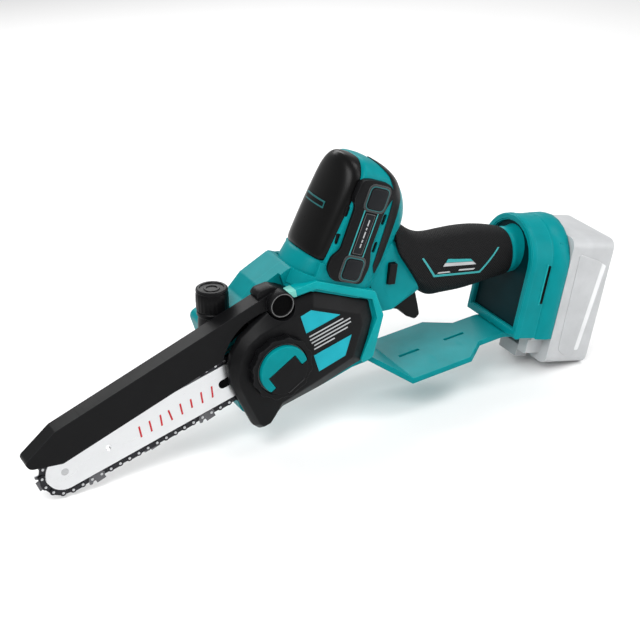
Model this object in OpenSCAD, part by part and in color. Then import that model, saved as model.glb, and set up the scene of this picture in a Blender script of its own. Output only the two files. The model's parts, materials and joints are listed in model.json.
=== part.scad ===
// Cordless pruning chainsaw with a short guide bar, a hinged upper guard and a slide-on battery.
// Modules are drawn with the bar level: -X to the nose, -Y to the cover side, +Z up.
// stand() then tips the whole saw so that the chain nose and the battery corner both touch Z = 0.

/* [Bar and chain] */
// Distance between neighbouring chain rivets
chain_pitch = 8.25; // [7.5:0.25:9.6]
// Rivet spacings along each straight run of the chain
straight_pitches = 28; // [22:1:34]
// Thickness of the guide bar
bar_t = 4; // [3.6:0.1:4.8]
// Width of the groove that guides the drive links
bar_groove = 1.6; // [1.5:0.1:2]
// Radius of the hang hole in the bar
hang_hole_r = 2.5; // [2:0.1:3.5]
// Travel of the bar between slack and tight
bar_travel = 6; // [3:0.5:8]

/* [Side cover and knob] */
// Radius of the round front of the side cover
cover_r = 44; // [40:1:50]
// Outer face of the side cover, measured from the bar plane
cover_reach = 18; // [16:0.5:24]
// Radius of the scalloped tension ring
ring_r = 27; // [24:0.5:32]
// Radius of the clamping knob inside the ring
knob_r = 21.5; // [19:0.5:23]
// Wall of moulded covers
cover_wall = 2.5; // [2:0.1:4]

/* [Upper guard] */
// Width of the guard channel over the bar
guard_w = 15; // [13:0.5:20]
// Wall of the guard channel
guard_wall = 2.2; // [1.8:0.1:3]
// Outer radius of the hinge boss
boss_r = 11; // [9:0.5:13]
// Radius of the hinge pin
guard_pin_r = 4; // [3:0.25:5]

/* [Housing] */
// Half width of the motor housing
motor_half_w = 30; // [28:1:36]
// Wall of the housing shells
shell_wall = 3; // [2.4:0.1:4]
// Lean of the motor above the bar line, in degrees
motor_angle = 51; // [48:1:54]
// Outer radius of the motor stator
stator_r = 23; // [19:0.5:24]

/* [Handle and hand guard] */
// Length of the rubber grip
grip_l = 86; // [76:1:100]
// Height of the grip at its front
grip_h = 50; // [44:1:56]
// Height of the grip at its rear
grip_rear_h = 42; // [38:1:48]
// Width of the grip
grip_w = 40; // [36:1:44]
// Thickness of the rubber sleeve
grip_skin = 3; // [2:0.25:4]
// Thickness of the hand guard plate
plate_t = 4.5; // [3.5:0.25:6]
// Width of the hand guard plate
plate_w = 78; // [64:1:84]

/* [Battery] */
// Length of the battery along its rails
battery_l = 117; // [100:1:130]
// Width of the battery
battery_w = 75; // [68:1:80]
// Thickness of the battery below the mount
battery_t = 45; // [30:1:60]
// Distance that the battery slides to come off
battery_travel = 90; // [70:1:100]

/* [Oil filler] */
// Radius of the oil cap
cap_r = 13.4; // [11:0.2:15]
// Height of the oil cap above its seal
cap_h = 22; // [18:0.5:26]

/* [Fits] */
// Radial clearance of pins and shafts that turn
run_gap = 0.05; // [0.03:0.01:0.1]
// Gap between pieces that move past each other
move_gap = 0.35; // [0.3:0.05:0.5]

/* [Hidden] */
$fn = 48;
eps = 0.02;

teal = [0.0, 0.53, 0.58];
black = [0.08, 0.08, 0.09];
grey = [0.25, 0.25, 0.27];
steel = [0.75, 0.76, 0.78];
copper = [0.72, 0.42, 0.22];
clear_grey = [0.82, 0.83, 0.84];
cyan = [0.12, 0.74, 0.8];

// Chain and bar
nose_teeth = 7;
run_l = straight_pitches * chain_pitch;
rivet_line_r = chain_pitch / (2 * sin(90 / nose_teeth));
spindle_x = 46;
nose_x = spindle_x - run_l;
link_half = 2.7;
bar_half = rivet_line_r - link_half - move_gap;
tang_depth = 7.4;
cutter_h = 5.4;
tang_t = bar_groove - 0.3;
strap_t = 1.1;
rivet_r = 1.1;
chain_count = 2 * (straight_pitches + nose_teeth);
sprocket_r = rivet_line_r * cos(90 / nose_teeth) - tang_depth - move_gap;
bar_tail_x = spindle_x - sprocket_r - bar_travel - 3;
slot_front_x = -42;
stud_r = 4;
pin_x = -26;
pin_z = 8.5;
pin_r = 1.8;

// Planes across the saw
mid_y = 19;
face_y = mid_y - motor_half_w;
plate_y = bar_t / 2 + 0.1;
plate_half = bar_half - 2;
case_y0 = 4;
case_y1 = 44;
rim_y0 = -9;
cover_y0 = -cover_reach;
cover_y1 = -4;

// Cover outline: a round front, a lobe under the chain and a tapered rear
cover_points = concat([for (a = [100:10:190]) cover_r * [cos(a), sin(a)]],
    [[-33, -49], [-19, -49], [-5, -38], [66, -32], [90, -8], [92, 8], [50, 41], [24, 45]]);
face_points = [[29, 33], [41, 33], [74, 9], [76, 0], [58, -25], [29, -26]];
rim_points = [[24, 52], [54, 49], [97, 14], [98, -9], [76, -41], [60, -43], [-8, -44], [-20, -54], [-38, -52]];

// Guard
boss_x = 20;
boss_z = 46;
guard_tip_x = nose_x - 26;
guard_points = [[boss_x, boss_z + boss_r], [14, boss_z + boss_r - 0.5], [nose_x + 5, 40], [guard_tip_x, 27],
    [guard_tip_x + 3, 20], [nose_x + 1, 11], [-36, 23], [boss_x - 18, boss_z - 12], [boss_x, boss_z - boss_r]];

// Grip axis, drawn from its front centre
grip_x = 153;
grip_z = -5;
grip_drop = 19.5;

// Battery rails
rail_angle = 60.7;
foot_top = 118;
foot_bottom = 18;
foot_half_w = 37;
foot_front = 228;
mount_front = 249;
mount_rear = 268;
case_front = mount_rear + move_gap;
case_rear = case_front + battery_t;
battery_low = -8;
rail_top = foot_top - 14;
blade_low = 42;

// Resting attitude
nose_reach = rivet_line_r + cutter_h;
corner_x = case_rear * sin(rail_angle) + battery_low * cos(rail_angle);
corner_z = battery_low * sin(rail_angle) - case_rear * cos(rail_angle);
span_x = corner_x - nose_x;
tilt = -atan2(corner_z, span_x) - asin(nose_reach / norm([span_x, corner_z]));
far_x = case_rear * sin(rail_angle) + (battery_low + battery_l) * cos(rail_angle);
far_z = (battery_low + battery_l) * sin(rail_angle) - case_rear * cos(rail_angle);
high_x = max(far_x * cos(tilt) - far_z * sin(tilt), corner_x * cos(tilt) - corner_z * sin(tilt));
low_x = min(guard_tip_x * cos(tilt) - 27 * sin(tilt), nose_x * cos(tilt) - nose_reach);
knob_face = cover_y0 - 5;
bow_h = 4.8;
wide_y0 = knob_face - bow_h;
wide_y1 = mid_y + plate_w / 2;

function unit(v) = v / norm(v);
function corner(p, a, b, r, n) =
    let (u = unit(a - p), v = unit(b - p),
        half = acos(max(-1, min(1, u * v))) / 2,
        d = min(r / tan(half), norm(a - p) / 2, norm(b - p) / 2),
        rr = d * tan(half),
        c = p + unit(u + v) * (rr / sin(half)),
        s = p + u * d, e = p + v * d,
        a0 = atan2(s[1] - c[1], s[0] - c[0]),
        a1 = atan2(e[1] - c[1], e[0] - c[0]),
        turn = (a1 - a0 + 540) % 360 - 180)
    [for (k = [0:n]) c + rr * [cos(a0 + turn * k / n), sin(a0 + turn * k / n)]];
function rounded(points, r, n = 4) =
    let (m = len(points))
    [for (i = [0:m - 1]) each corner(points[i], points[(i + m - 1) % m], points[(i + 1) % m], r, n)];

// Place and turn of chain rivet i, counted round the loop from the top rear: [x, z, heading]
function chain_spot(i) =
    let (n = straight_pitches, k = i % chain_count)
    k <= n ? [spindle_x - k * chain_pitch, rivet_line_r, 180]
    : k < n + nose_teeth ? let (a = 90 + (k - n) * 180 / nose_teeth)
        [nose_x + rivet_line_r * cos(a), rivet_line_r * sin(a), a + 90]
    : k <= 2 * n + nose_teeth ? [nose_x + (k - n - nose_teeth) * chain_pitch, -rivet_line_r, 0]
    : let (a = -90 + (k - 2 * n - nose_teeth) * 180 / nose_teeth)
        [spindle_x + rivet_line_r * cos(a), rivet_line_r * sin(a), a + 90];

module stand() {
    translate([-(high_x + low_x) / 2, -(wide_y0 + wide_y1) / 2, -(corner_x * sin(tilt) + corner_z * cos(tilt))])
        rotate([0, -tilt, 0]) children();
}

module slab(y0, y1) {
    translate([0, y1, 0]) rotate([90, 0, 0]) linear_extrude(height = y1 - y0) children();
}

module rod(x, z, r, y0, y1) {
    translate([x, y1, z]) rotate([90, 0, 0]) cylinder(r = r, h = y1 - y0);
}

module ring_rod(x, z, r_out, r_in, y0, y1) {
    difference() {
        rod(x, z, r_out, y0, y1);
        rod(x, z, r_in, y0 - 1, y1 + 1);
    }
}

module along_motor() {
    translate([spindle_x, mid_y, 0]) rotate([0, 90 - motor_angle, 0]) children();
}

module on_rails() {
    translate([0, mid_y, 0]) rotate([0, 90 - rail_angle, 0]) children();
}

module in_grip() {
    translate([grip_x, mid_y, grip_z]) rotate([0, grip_drop, 0]) children();
}

module across_rails(n0, n1) {
    translate([n0, 0, 0]) rotate([90, 0, 90]) linear_extrude(height = n1 - n0) children();
}

// Half space on the cover side or the far side of the parting plane
module half(side) {
    translate([-260, side < 0 ? mid_y - 200 : mid_y, -260]) cube([700, 200, 520]);
}

// ---- Bar and chain ----

module bar_outline(inset) {
    translate([nose_x, 0]) circle(r = bar_half - inset);
    translate([nose_x, -(bar_half - inset)]) square([bar_tail_x - nose_x - inset, 2 * (bar_half - inset)]);
}

module guide_bar() {
    color(steel) stand() difference() {
        slab(-bar_t / 2, bar_t / 2) bar_outline(0);
        slab(-bar_groove / 2, bar_groove / 2) difference() {
            translate([0, 0]) bar_outline(-2);
            difference() {
                bar_outline(tang_depth - link_half);
                translate([nose_x, 0]) circle(r = sprocket_r + 1.2);
            }
        }
        rod(nose_x, 0, 3.1, -bar_t, bar_t);
        slab(-bar_t, bar_t) {
            translate([slot_front_x + stud_r + 1, 0]) circle(r = stud_r + 0.3);
            translate([slot_front_x + stud_r + 1, -stud_r - 0.3])
                square([bar_tail_x - slot_front_x, 2 * stud_r + 0.6]);
        }
        rod(pin_x, pin_z, pin_r + run_gap, -bar_t, bar_t);
        rod(-147, 0, hang_hole_r, -bar_t, bar_t);
    }
}

module nose_sprocket() {
    color(grey) stand() difference() {
        slab(-tang_t / 2, tang_t / 2) translate([nose_x, 0]) {
            circle(r = sprocket_r - 2.2);
            for (k = [0:nose_teeth - 1]) rotate(k * 360 / nose_teeth)
                polygon([[0, -2.6], [sprocket_r - 2, -2.2], [sprocket_r, 0], [sprocket_r - 2, 2.2], [0, 2.6]]);
        }
        rod(nose_x, 0, 3.1 + run_gap, -2, 2);
    }
}

module nose_rivet() {
    color(steel) stand() {
        rod(nose_x, 0, 3.1, -bar_t / 2, bar_t / 2);
    }
}

module tension_pin() {
    color(grey) stand() rod(pin_x, pin_z, pin_r, -bar_t / 2, plate_y + 3);
}

module link_plate(thick, hole) {
    rotate([90, 0, 0]) linear_extrude(height = thick) difference() {
        union() {
            circle(r = link_half, $fn = 16);
            translate([chain_pitch, 0]) circle(r = link_half, $fn = 16);
            translate([0, -link_half + 0.5]) square([chain_pitch, 2 * link_half - 1]);
        }
        if (hole) {
            circle(r = rivet_r + 0.03, $fn = 16);
            translate([chain_pitch, 0]) circle(r = rivet_r + 0.03, $fn = 16);
        }
    }
}

// Turns a link's own frame to lie between rivets i and i + 1; its +Z points into the loop
module between(i) {
    a = chain_spot(i);
    b = chain_spot(i + 1);
    translate([a[0], 0, a[1]]) rotate([0, -atan2(b[1] - a[1], b[0] - a[0]), 0]) children();
}

module chain_drive_links() {
    color(grey) stand() for (i = [0:2:chain_count - 1]) between(i) translate([0, tang_t / 2, 0]) {
        difference() {
            union() {
                link_plate(tang_t, false);
                rotate([90, 0, 0]) linear_extrude(height = tang_t)
                    polygon([[1, 0], [chain_pitch - 1, 0], [chain_pitch - 2.4, tang_depth], [2.6, tang_depth]]);
            }
            for (x = [0, chain_pitch]) rod(x, 0, rivet_r + 0.03, -tang_t - 1, 1);
        }
    }
}

// A cutter takes the outer or the far strap of every third link pair in turn
function is_cutter(i, side) = (i % 12 == (side < 0 ? 1 : 7));

module chain_tie_straps() {
    color([0.42, 0.42, 0.44]) stand() for (i = [1:2:chain_count - 1]) for (side = [-1, 1])
        if (!is_cutter(i, side))
            between(i) translate([0, side < 0 ? -tang_t / 2 : tang_t / 2 + strap_t, 0]) link_plate(strap_t, true);
}

module chain_cutters() {
    color(steel) stand() for (i = [1:2:chain_count - 1]) for (side = [-1, 1])
        if (is_cutter(i, side))
            between(i) translate([0, side < 0 ? -tang_t / 2 : tang_t / 2 + strap_t, 0]) {
                difference() {
                    union() {
                        link_plate(strap_t, false);
                        rotate([90, 0, 0]) linear_extrude(height = strap_t)
                            polygon([[-3, 0], [-3.4, -4.2], [-1.2, -4.6], [0.4, -2.6], [2, -2.6], [2.6, -cutter_h],
                                [10.6, -cutter_h + 0.7], [10.2, 0]]);
                    }
                    for (x = [0, chain_pitch]) rod(x, 0, rivet_r + 0.03, -strap_t - 1, 1);
                }
            }
}

module chain_rivets() {
    color(steel) stand() for (i = [0:chain_count - 1]) {
        p = chain_spot(i);
        rod(p[0], p[1], rivet_r, -tang_t / 2 - strap_t - 0.5, tang_t / 2 + strap_t + 0.5);
    }
}

module drive_sprocket() {
    color(grey) stand() difference() {
        union() {
            slab(-tang_t / 2, tang_t / 2) translate([spindle_x, 0]) {
                circle(r = sprocket_r - 2.2);
                for (k = [0:nose_teeth - 1]) rotate(k * 360 / nose_teeth)
                    polygon([[0, -2.6], [sprocket_r - 2, -2.2], [sprocket_r, 0], [sprocket_r - 2, 2.2], [0, 2.6]]);
            }
            rod(spindle_x, 0, 8, -3, 3);
        }
        rod(spindle_x, 0, 4, -6, 6);
    }
}

// ---- Side cover, knob and tension ring ----

module side_cover() {
    color(black) stand() difference() {
        union() {
            slab(cover_y0 + 3, cover_y1) polygon(rounded(cover_points, 4));
            slab(cover_y0, cover_y0 + 3 + eps) polygon(rounded([for (p = cover_points) 0.93 * p], 4));
        }
        slab(cover_y0 + cover_wall + 2, cover_y1 + 1) offset(delta = -cover_wall) polygon(rounded(cover_points, 4));
        slab(cover_y0 - 1, cover_y0 + 0.8) polygon(rounded(face_points, 1.5));
        rod(0, 0, stud_r + 0.3, cover_y0 - 1, cover_y1);
        rod(0, 0, ring_r + 1, cover_y0 - 1, cover_y0 + 1);
        rod(boss_x, boss_z, boss_r + 1.5, cover_y0 - 1, 0);
    }
}

module cover_badges() {
    color(cyan) stand() slab(cover_y0 + 0.2, cover_y0 + 0.8) {
        polygon([[30, 31], [40, 31.5], [62, 14.5], [30, 14.5]]);
        polygon([[30, -8], [66, -8], [55.5, -23], [30, -24]]);
    }
}

module clamp_stud() {
    color(steel) stand() {
        rod(0, 0, stud_r, cover_y0 - 2.4, plate_y);
        rod(0, 0, 9, plate_y + 1.6, plate_y + 4);
        rod(0, 0, stud_r, plate_y, plate_y + 1.6);
    }
}

// The knob is drawn in its own plane: first axis across the bow, second along the bow's straight edge
bow_r = 20.5;
bow_edge = 4.4;
bow_turn = 106;
bow_hook = -7;
flap_half = 13.4;
flap_pin_d = 18;
flap_pin_r = 1.2;
flap_t = 4.4;
flap_mid = knob_face - 0.3 - flap_t / 2;

module on_knob(y0, y1) {
    slab(y0, y1) rotate(bow_turn) children();
}

module flap_axle(r, half_l) {
    rotate([0, -bow_turn, 0]) translate([-flap_pin_d, flap_mid, -half_l]) cylinder(r = r, h = 2 * half_l);
}

module clamp_knob() {
    color(black) stand() difference() {
        rod(0, 0, knob_r, knob_face, cover_y0 + 0.6);
        rod(0, 0, stud_r + run_gap, cover_y0 - 3, cover_y0 + 2);
        on_knob(knob_face - 1, knob_face + 1.2) translate([-knob_r - 1, -knob_r]) square([8, 2 * knob_r]);
    }
}

module knob_bow() {
    color(teal) stand() on_knob(knob_face - bow_h, knob_face) difference() {
        circle(r = bow_r);
        translate([-30, -30]) square([30 + bow_hook, 60]);
        translate([-30, -flap_half - 0.4]) square([30 + bow_edge, 2 * flap_half + 0.8]);
    }
}

module knob_flap() {
    color(black) stand() difference() {
        union() {
            on_knob(flap_mid - flap_t / 2, flap_mid + flap_t / 2) difference() {
                circle(r = bow_r);
                translate([bow_edge - 0.4, -30]) square(60);
                for (side = [-1, 1]) translate([bow_hook - 0.4, side * (flap_half + 30) - 30]) square(60);
                translate([-30, -30]) square([30 - flap_pin_d, 60]);
            }
            flap_axle(flap_t / 2 + 0.3, 8.4);
        }
        flap_axle(flap_pin_r + run_gap, 20);
    }
}

module flap_pin() {
    color(steel) stand() flap_axle(flap_pin_r, 8.2);
}

module tension_ring() {
    color(black) stand() slab(cover_y0 - 6.5, cover_y0 + 0.6) difference() {
        union() {
            circle(r = ring_r - 1.4);
            for (a = [0:30:359]) rotate(a) translate([ring_r - 5, 0]) circle(r = 5, $fn = 24);
        }
        circle(r = knob_r + move_gap);
    }
}

// ---- Upper guard ----

// Middle of the first turn of the guard spring, inside the boss
spring_y = -4;

module upper_guard() {
    color(black) stand() difference() {
        union() {
            difference() {
                slab(-guard_w / 2, guard_w / 2) polygon(rounded(guard_points, 5));
                rod(0, 0, cover_r + 1, -guard_w, cover_y1 + 0.6);
            }
            rod(boss_x, boss_z, boss_r, -guard_w / 2 - 4, guard_w / 2);
        }
        slab(-guard_w / 2 + guard_wall, guard_w / 2 - guard_wall)
            polygon([[guard_tip_x + 10, 16], [guard_tip_x + 14, 27], [nose_x + 5, 36], [-8, 47], [-8, 20], [nose_x - 5, 0]]);
        rod(boss_x, boss_z, guard_pin_r + run_gap, -guard_w, guard_w);
        rod(boss_x, boss_z, boss_r - 3, -guard_w / 2 - 5, spring_y + 3);
    }
}

module guard_pin() {
    color(steel) stand() {
        rod(boss_x, boss_z, guard_pin_r, spring_y - 2, bay_y + shell_wall);
        rod(boss_x, boss_z, boss_r - 3.6, spring_y - 4, spring_y - 2);
    }
}

module coil(r, wire, turns) {
    for (k = [0:turns - 1]) translate([0, k * wire * 2.2, 0]) rotate([90, 0, 0])
        rotate_extrude($fn = 32) translate([r, 0]) circle(r = wire, $fn = 12);
}

module guard_spring() {
    color(steel) stand() translate([boss_x, spring_y, boss_z]) coil(guard_pin_r + 1.6, 0.8, 2);
}

// ---- Housing ----

case_points = [[-36, -40], [-38, 20], [-38, 46], [0, 49], [14, 57], [40, 62], [100, 62], [118, 12], [100, -6],
    [76, -38], [60, -41]];

// Room beside the case for the guard and its hinge boss, open upwards so that the guard can swing
bay_y = guard_w / 2 + 0.8;
bay_r = boss_r + 1.5;
bay_points = concat([[-70, 8], [-36, 18], [4, 27]],
    [for (a = [-90:15:0]) [boss_x + bay_r * cos(a), boss_z + bay_r * sin(a)]], [[boss_x + bay_r, 90], [-70, 90]]);

module guard_bay(y) {
    slab(-60, y) polygon(bay_points);
}

module case_outer(grow) {
    slab(case_y0 - grow, case_y1 + grow)
        offset(delta = grow) polygon(rounded(case_points, 6));
}

// Rounded rectangle across the motor axis, in the motor's own frame
module motor_section(z, front, rear, half_w, r) {
    translate([0, 0, z]) linear_extrude(height = 0.1) offset(r = r, $fn = 28)
        translate([-front + r, -half_w + r]) square([front + rear - 2 * r, 2 * half_w - 2 * r]);
}

module motor_outer(grow) {
    along_motor() hull() {
        motor_section(34, 42 + grow, 34 + grow, motor_half_w + grow, 19 + grow);
        motor_section(100, 38 + grow, 37 + grow, motor_half_w + grow, 19 + grow);
        motor_section(130, 31 + grow, 33 + grow, motor_half_w - 2 + grow, 19 + grow);
        motor_section(142 + grow, 21 + grow, 22 + grow, motor_half_w - 12 + grow, 16 + grow);
        motor_section(146 + grow, 10, 12, 9, 8);
    }
}

// Oval across the grip
module oval(high, wide) {
    resize([high, wide]) circle(r = 20, $fn = 28);
}

// The neck ends a little way inside the grip's core
neck_end_h = grip_h - 2 * grip_skin - 5;
neck_end_w = grip_w - 2 * grip_skin - 5;

module neck_outer(grow) {
    hull() {
        slab(mid_y - 22 - grow, mid_y + 22 + grow) polygon([[100, -12 - grow], [100, 58 + grow], [112, 60 + grow],
            [112, -16 - grow]]);
        in_grip() translate([2, 0, 0]) rotate([0, 90, 0]) linear_extrude(height = 0.1)
            oval(neck_end_h + 2 * grow, neck_end_w + 2 * grow);
    }
}

// Grip solid from its front to the battery foot; the core runs on into the foot
module grip_body(grow, run = grip_l) {
    in_grip() hull() {
        rotate([0, 90, 0]) linear_extrude(height = 0.1)
            oval(grip_h + 2 * grow, grip_w + 2 * grow);
        translate([grip_l / 2, 0, 1]) rotate([0, 90, 0]) linear_extrude(height = 0.1)
            oval(grip_rear_h + 4 + 2 * grow, grip_w + 1 + 2 * grow);
        translate([run, 0, 0]) rotate([0, 90, 0]) linear_extrude(height = 0.1)
            oval(grip_rear_h + 2 * grow, grip_w + 2 * grow);
    }
}

module foot_arch(grow) {
    translate([0, foot_top - foot_half_w]) circle(r = foot_half_w + grow);
    translate([-foot_half_w - grow, foot_bottom - grow])
        square([2 * (foot_half_w + grow), foot_top - foot_half_w - foot_bottom + grow]);
}

module foot_outer(grow) {
    on_rails() across_rails(foot_front - grow, mount_front - (grow < 0 ? -eps : 0)) foot_arch(grow);
}

module housing_shape() {
    difference() {
        union() {
            case_outer(0);
            motor_outer(0);
            neck_outer(0);
            grip_body(-grip_skin, grip_l + 14);
            foot_outer(0);
            slab(rim_y0, case_y0 + eps) difference() {
                polygon(rounded(rim_points, 4));
                offset(delta = 0.4) polygon(rounded(cover_points, 4));
                translate([-80, -90]) square([112, 150]);
            }
        }
        difference() {
            union() {
                case_outer(-shell_wall);
                motor_outer(-shell_wall);
            }
            guard_bay(bay_y + shell_wall);
        }
        guard_bay(bay_y);
        rod(boss_x, boss_z, guard_pin_r, 0, bay_y + shell_wall + 1);
        intersection() {
            neck_outer(-shell_wall);
            translate([0, mid_y - 40, -100]) cube([300, 80, 300]);
        }
        grip_body(-grip_skin - 2.5, grip_l + 14);
        on_rails() across_rails(foot_front + shell_wall, mount_front + 1) foot_arch(-shell_wall);
        along_motor() translate([-70, -60, 46]) cube([70 - 26, 120, 120]);
        rod(spindle_x, 0, 28, case_y0 - 1, case_y0 + shell_wall + 1);
        rod(0, 0, 10, case_y0 - 1, case_y0 + shell_wall + 1);
        rod(pin_x + 3, pin_z, 8, case_y0 - 1, case_y0 + shell_wall + 1);
        at_filler() translate([0, 0, -16]) cylinder(r = 12.2, h = 40);
        slab(-60, cover_y1 + 0.3) offset(delta = 0.4) polygon(rounded(cover_points, 4));
        translate([104, mid_y - 8, -60]) cube([46, 16, 52]);
        at_lock() translate([-4, mid_y - 40, -9.4]) cube([8, 32, 18.8]);
        for (p = screw_spots) rod(p[0], p[1], 2.2, mid_y - 20, case_y1 + 20);
    }
}

module at_lock() {
    translate([lock_x, 0, lock_z]) rotate([0, 25, 0]) children();
}

screw_spots = [[-28, -30], [58, -32], [0, 38]];
lock_x = 121;
lock_z = 15;

module housing_left() {
    color(teal) stand() intersection() {
        housing_shape();
        half(-1);
    }
}

module housing_right() {
    color(teal) stand() intersection() {
        housing_shape();
        half(1);
    }
}

module motor_cover() {
    color(black) stand() difference() {
        intersection() {
            motor_outer(0);
            along_motor() translate([-70, -60, 46.3]) cube([70 - 26.3, 120, 120]);
        }
        motor_outer(-shell_wall);
    }
}

// Near face of the motor housing as a drawing plane: first axis down the rear, second along the motor
module on_near_face(lift, thick) {
    along_motor() translate([0, -motor_half_w - lift, 0])
        rotate([90, 0, 0]) linear_extrude(height = thick) children();
}

inlay_points = [[-13, 50], [-17, 58], [-17, 74], [-9, 80], [-9, 100], [-17, 106], [-16, 124], [-8, 130], [12, 127],
    [17, 121], [17, 106], [10, 100], [11, 80], [18, 74], [18, 56], [12, 49]];

module side_inlay() {
    color(black) stand() on_near_face(0.02, 2) difference() {
        polygon(rounded(inlay_points, 3));
        for (z = [63, 115]) translate([1, z]) square([17, 17], center = true);
    }
}

module inlay_pads() {
    color(grey) stand() on_near_face(0.02, 3) for (z = [63, 115]) translate([1, z]) square([16.6, 16.6], center = true);
}

module rear_trim() {
    color(black) stand() on_near_face(0.02, 1.4)
        polygon(rounded([[24, 60], [20.5, 70], [21, 118], [24, 124], [25.5, 118], [27, 74]], 2));
}

module housing_screws() {
    color(steel) stand() for (p = screw_spots) {
        rod(p[0], p[1], 2, mid_y - 10, case_y1);
        rod(p[0], p[1], 3.8, case_y1 + eps, case_y1 + 2.4);
    }
}

// ---- Oil system ----

cap_x = -24;
cap_y = 23;
tank_y = bay_y + shell_wall + 0.3;
cap_z = 50;

module at_filler() {
    translate([cap_x, cap_y, cap_z]) rotate([0, tilt, 0]) children();
}

module oil_tank() {
    color([0.85, 0.88, 0.8]) stand() difference() {
        union() {
            translate([-34.5, tank_y, 8]) cube([28, 26, 33]);
            at_filler() translate([0, 0, -12]) cylinder(r = 11.5, h = 12);
        }
        translate([-32.5, tank_y + 2, 10]) cube([24, 22, 29]);
        at_filler() translate([0, 0, -14]) cylinder(r = 8, h = 20);
    }
}

module cap_seal() {
    color([0.7, 0.25, 0.15]) stand() at_filler() translate([0, 0, 0.1]) difference() {
        cylinder(r = 11.2, h = 1.4);
        translate([0, 0, -1]) cylinder(r = 8, h = 4);
    }
}

module oil_cap() {
    color(black) stand() at_filler() {
        difference() {
            union() {
                translate([0, 0, 1.6]) cylinder(r = cap_r - 1.4, h = cap_h * 0.42);
                translate([0, 0, 1.6 + cap_h * 0.42 - eps]) cylinder(r = cap_r, h = cap_h * 0.58);
                translate([0, 0, -8]) cylinder(r = 7.6, h = 9.6 + eps);
                for (a = [0:12:359]) rotate(a) translate([cap_r, 0, 2 + cap_h * 0.42]) cylinder(r = 0.7, h = cap_h * 0.5,
                    $fn = 12);
            }
            translate([0, 0, cap_h - 1]) difference() {
                cylinder(r = cap_r - 2, h = 5);
                translate([-cap_r, -2, -1]) cube([2 * cap_r, 4, 7]);
            }
        }
    }
}

module oil_pump() {
    color(grey) stand() {
        rod(-18, -14, 8, case_y0 + shell_wall + 0.2, 22);
        rod(-18, -14, 3, 22, 28);
    }
}

// ---- Drive ----

module bar_plate() {
    color(steel) stand() difference() {
        slab(plate_y, plate_y + 1.5) polygon(rounded([[-36, -plate_half], [-36, plate_half], [bar_tail_x, plate_half], [bar_tail_x, -plate_half]], 3));
        rod(0, 0, stud_r + eps, 0, 6);
        slab(0, 6) translate([pin_x, pin_z]) union() {
            circle(r = pin_r + 0.5);
            translate([bar_travel, 0]) circle(r = pin_r + 0.5);
            translate([0, -pin_r - 0.5]) square([bar_travel, 2 * pin_r + 1]);
        }
    }
}

gear_y0 = 10;
gear_r = 20;
pinion_r = 5;
bearing_r = 11;
box_y0 = case_y0 + 0.2;
box_y1 = 35;

module gear_housing() {
    color([0.6, 0.6, 0.62]) stand() difference() {
        rod(spindle_x, 0, 26, box_y0, box_y1);
        rod(spindle_x, 0, 22.5, box_y0 + 5.2, box_y1 - 5);
        rod(spindle_x, 0, bearing_r + eps, box_y0 - 1, box_y1 + 1);
        along_motor() cylinder(r = 9, h = 40);
    }
}

module spindle() {
    color(steel) stand() rod(spindle_x, 0, 4, -5, box_y1 - 0.5);
}

module spindle_bearings() {
    color(steel) stand() for (y = [box_y0, box_y1 - 5])
        ring_rod(spindle_x, 0, bearing_r, 4 + run_gap, y, y + 5);
}

module bevel_gear() {
    color(grey) stand() difference() {
        union() {
            rod(spindle_x, 0, gear_r, gear_y0, gear_y0 + 2.6);
            rod(spindle_x, 0, 8, gear_y0 - 0.4, gear_y0 + 3.4);
            for (k = [0:31]) translate([spindle_x, gear_y0 + 2.5, 0]) rotate([0, k * 360 / 32, 0])
                translate([gear_r - 6.5, 0, -0.8]) cube([6, 1, 1.6]);
        }
        rod(spindle_x, 0, 4, 0, 30);
    }
}

module bevel_pinion() {
    color(grey) stand() along_motor() difference() {
        translate([0, 0, 13.5]) union() {
            cylinder(r = pinion_r - 0.9, h = 7);
            for (k = [0:7]) rotate(k * 45) translate([pinion_r - 1.6, -0.7, 0]) cube([1.6, 1.4, 7]);
        }
        cylinder(r = 2.5, h = 60);
    }
}

module motor_shaft() {
    color(steel) stand() along_motor() translate([0, 0, 13.5]) cylinder(r = 2.5, h = 106);
}

module motor_bearings() {
    color(steel) stand() along_motor() for (z = [36, 112]) translate([0, 0, z]) difference() {
        cylinder(r = 8, h = 5);
        translate([0, 0, -1]) cylinder(r = 2.5 + run_gap, h = 7);
    }
}

module motor_rotor() {
    color(grey) stand() along_motor() translate([0, 0, 52]) difference() {
        cylinder(r = 11, h = 40);
        translate([0, 0, -1]) cylinder(r = 2.5, h = 42);
    }
}

module motor_stator() {
    color(copper) stand() along_motor() translate([0, 0, 50]) difference() {
        cylinder(r = stator_r, h = 44);
        translate([0, 0, -1]) cylinder(r = 11.6, h = 46);
        for (k = [0:5]) rotate(k * 60 + 30) translate([15.5, 0, -1]) cylinder(r = 2.4, h = 46);
    }
}

module cooling_fan() {
    color(black) stand() along_motor() translate([0, 0, 98]) difference() {
        union() {
            cylinder(r = 8, h = 8);
            cylinder(r = 20, h = 1.6);
            for (k = [0:10]) rotate(k * 360 / 11) translate([7, -0.7, 0]) cube([13, 1.4, 8]);
        }
        translate([0, 0, -1]) cylinder(r = 2.5, h = 12);
    }
}

module controller() {
    color([0.1, 0.35, 0.2]) stand() on_rails() translate([foot_front + 6, -24, 36]) {
        cube([2, 48, 44]);
        for (k = [0:2]) translate([2, 6 + k * 13, 8]) cube([6, 9, 20]);
    }
}

// ---- Handle ----

module grip_sleeve() {
    color(black) stand() difference() {
        grip_body(0);
        in_grip() hull() for (x = [-1, grip_l + 1]) translate([x, 0, 0]) rotate([0, 90, 0]) linear_extrude(height = 0.1)
            circle(r = 3, $fn = 12);
        grip_body(-grip_skin, grip_l + 14);
        foot_outer(0.1);
        translate([104, mid_y - 8.5, -60]) cube([46.5, 17, 52]);
    }
}

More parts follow.
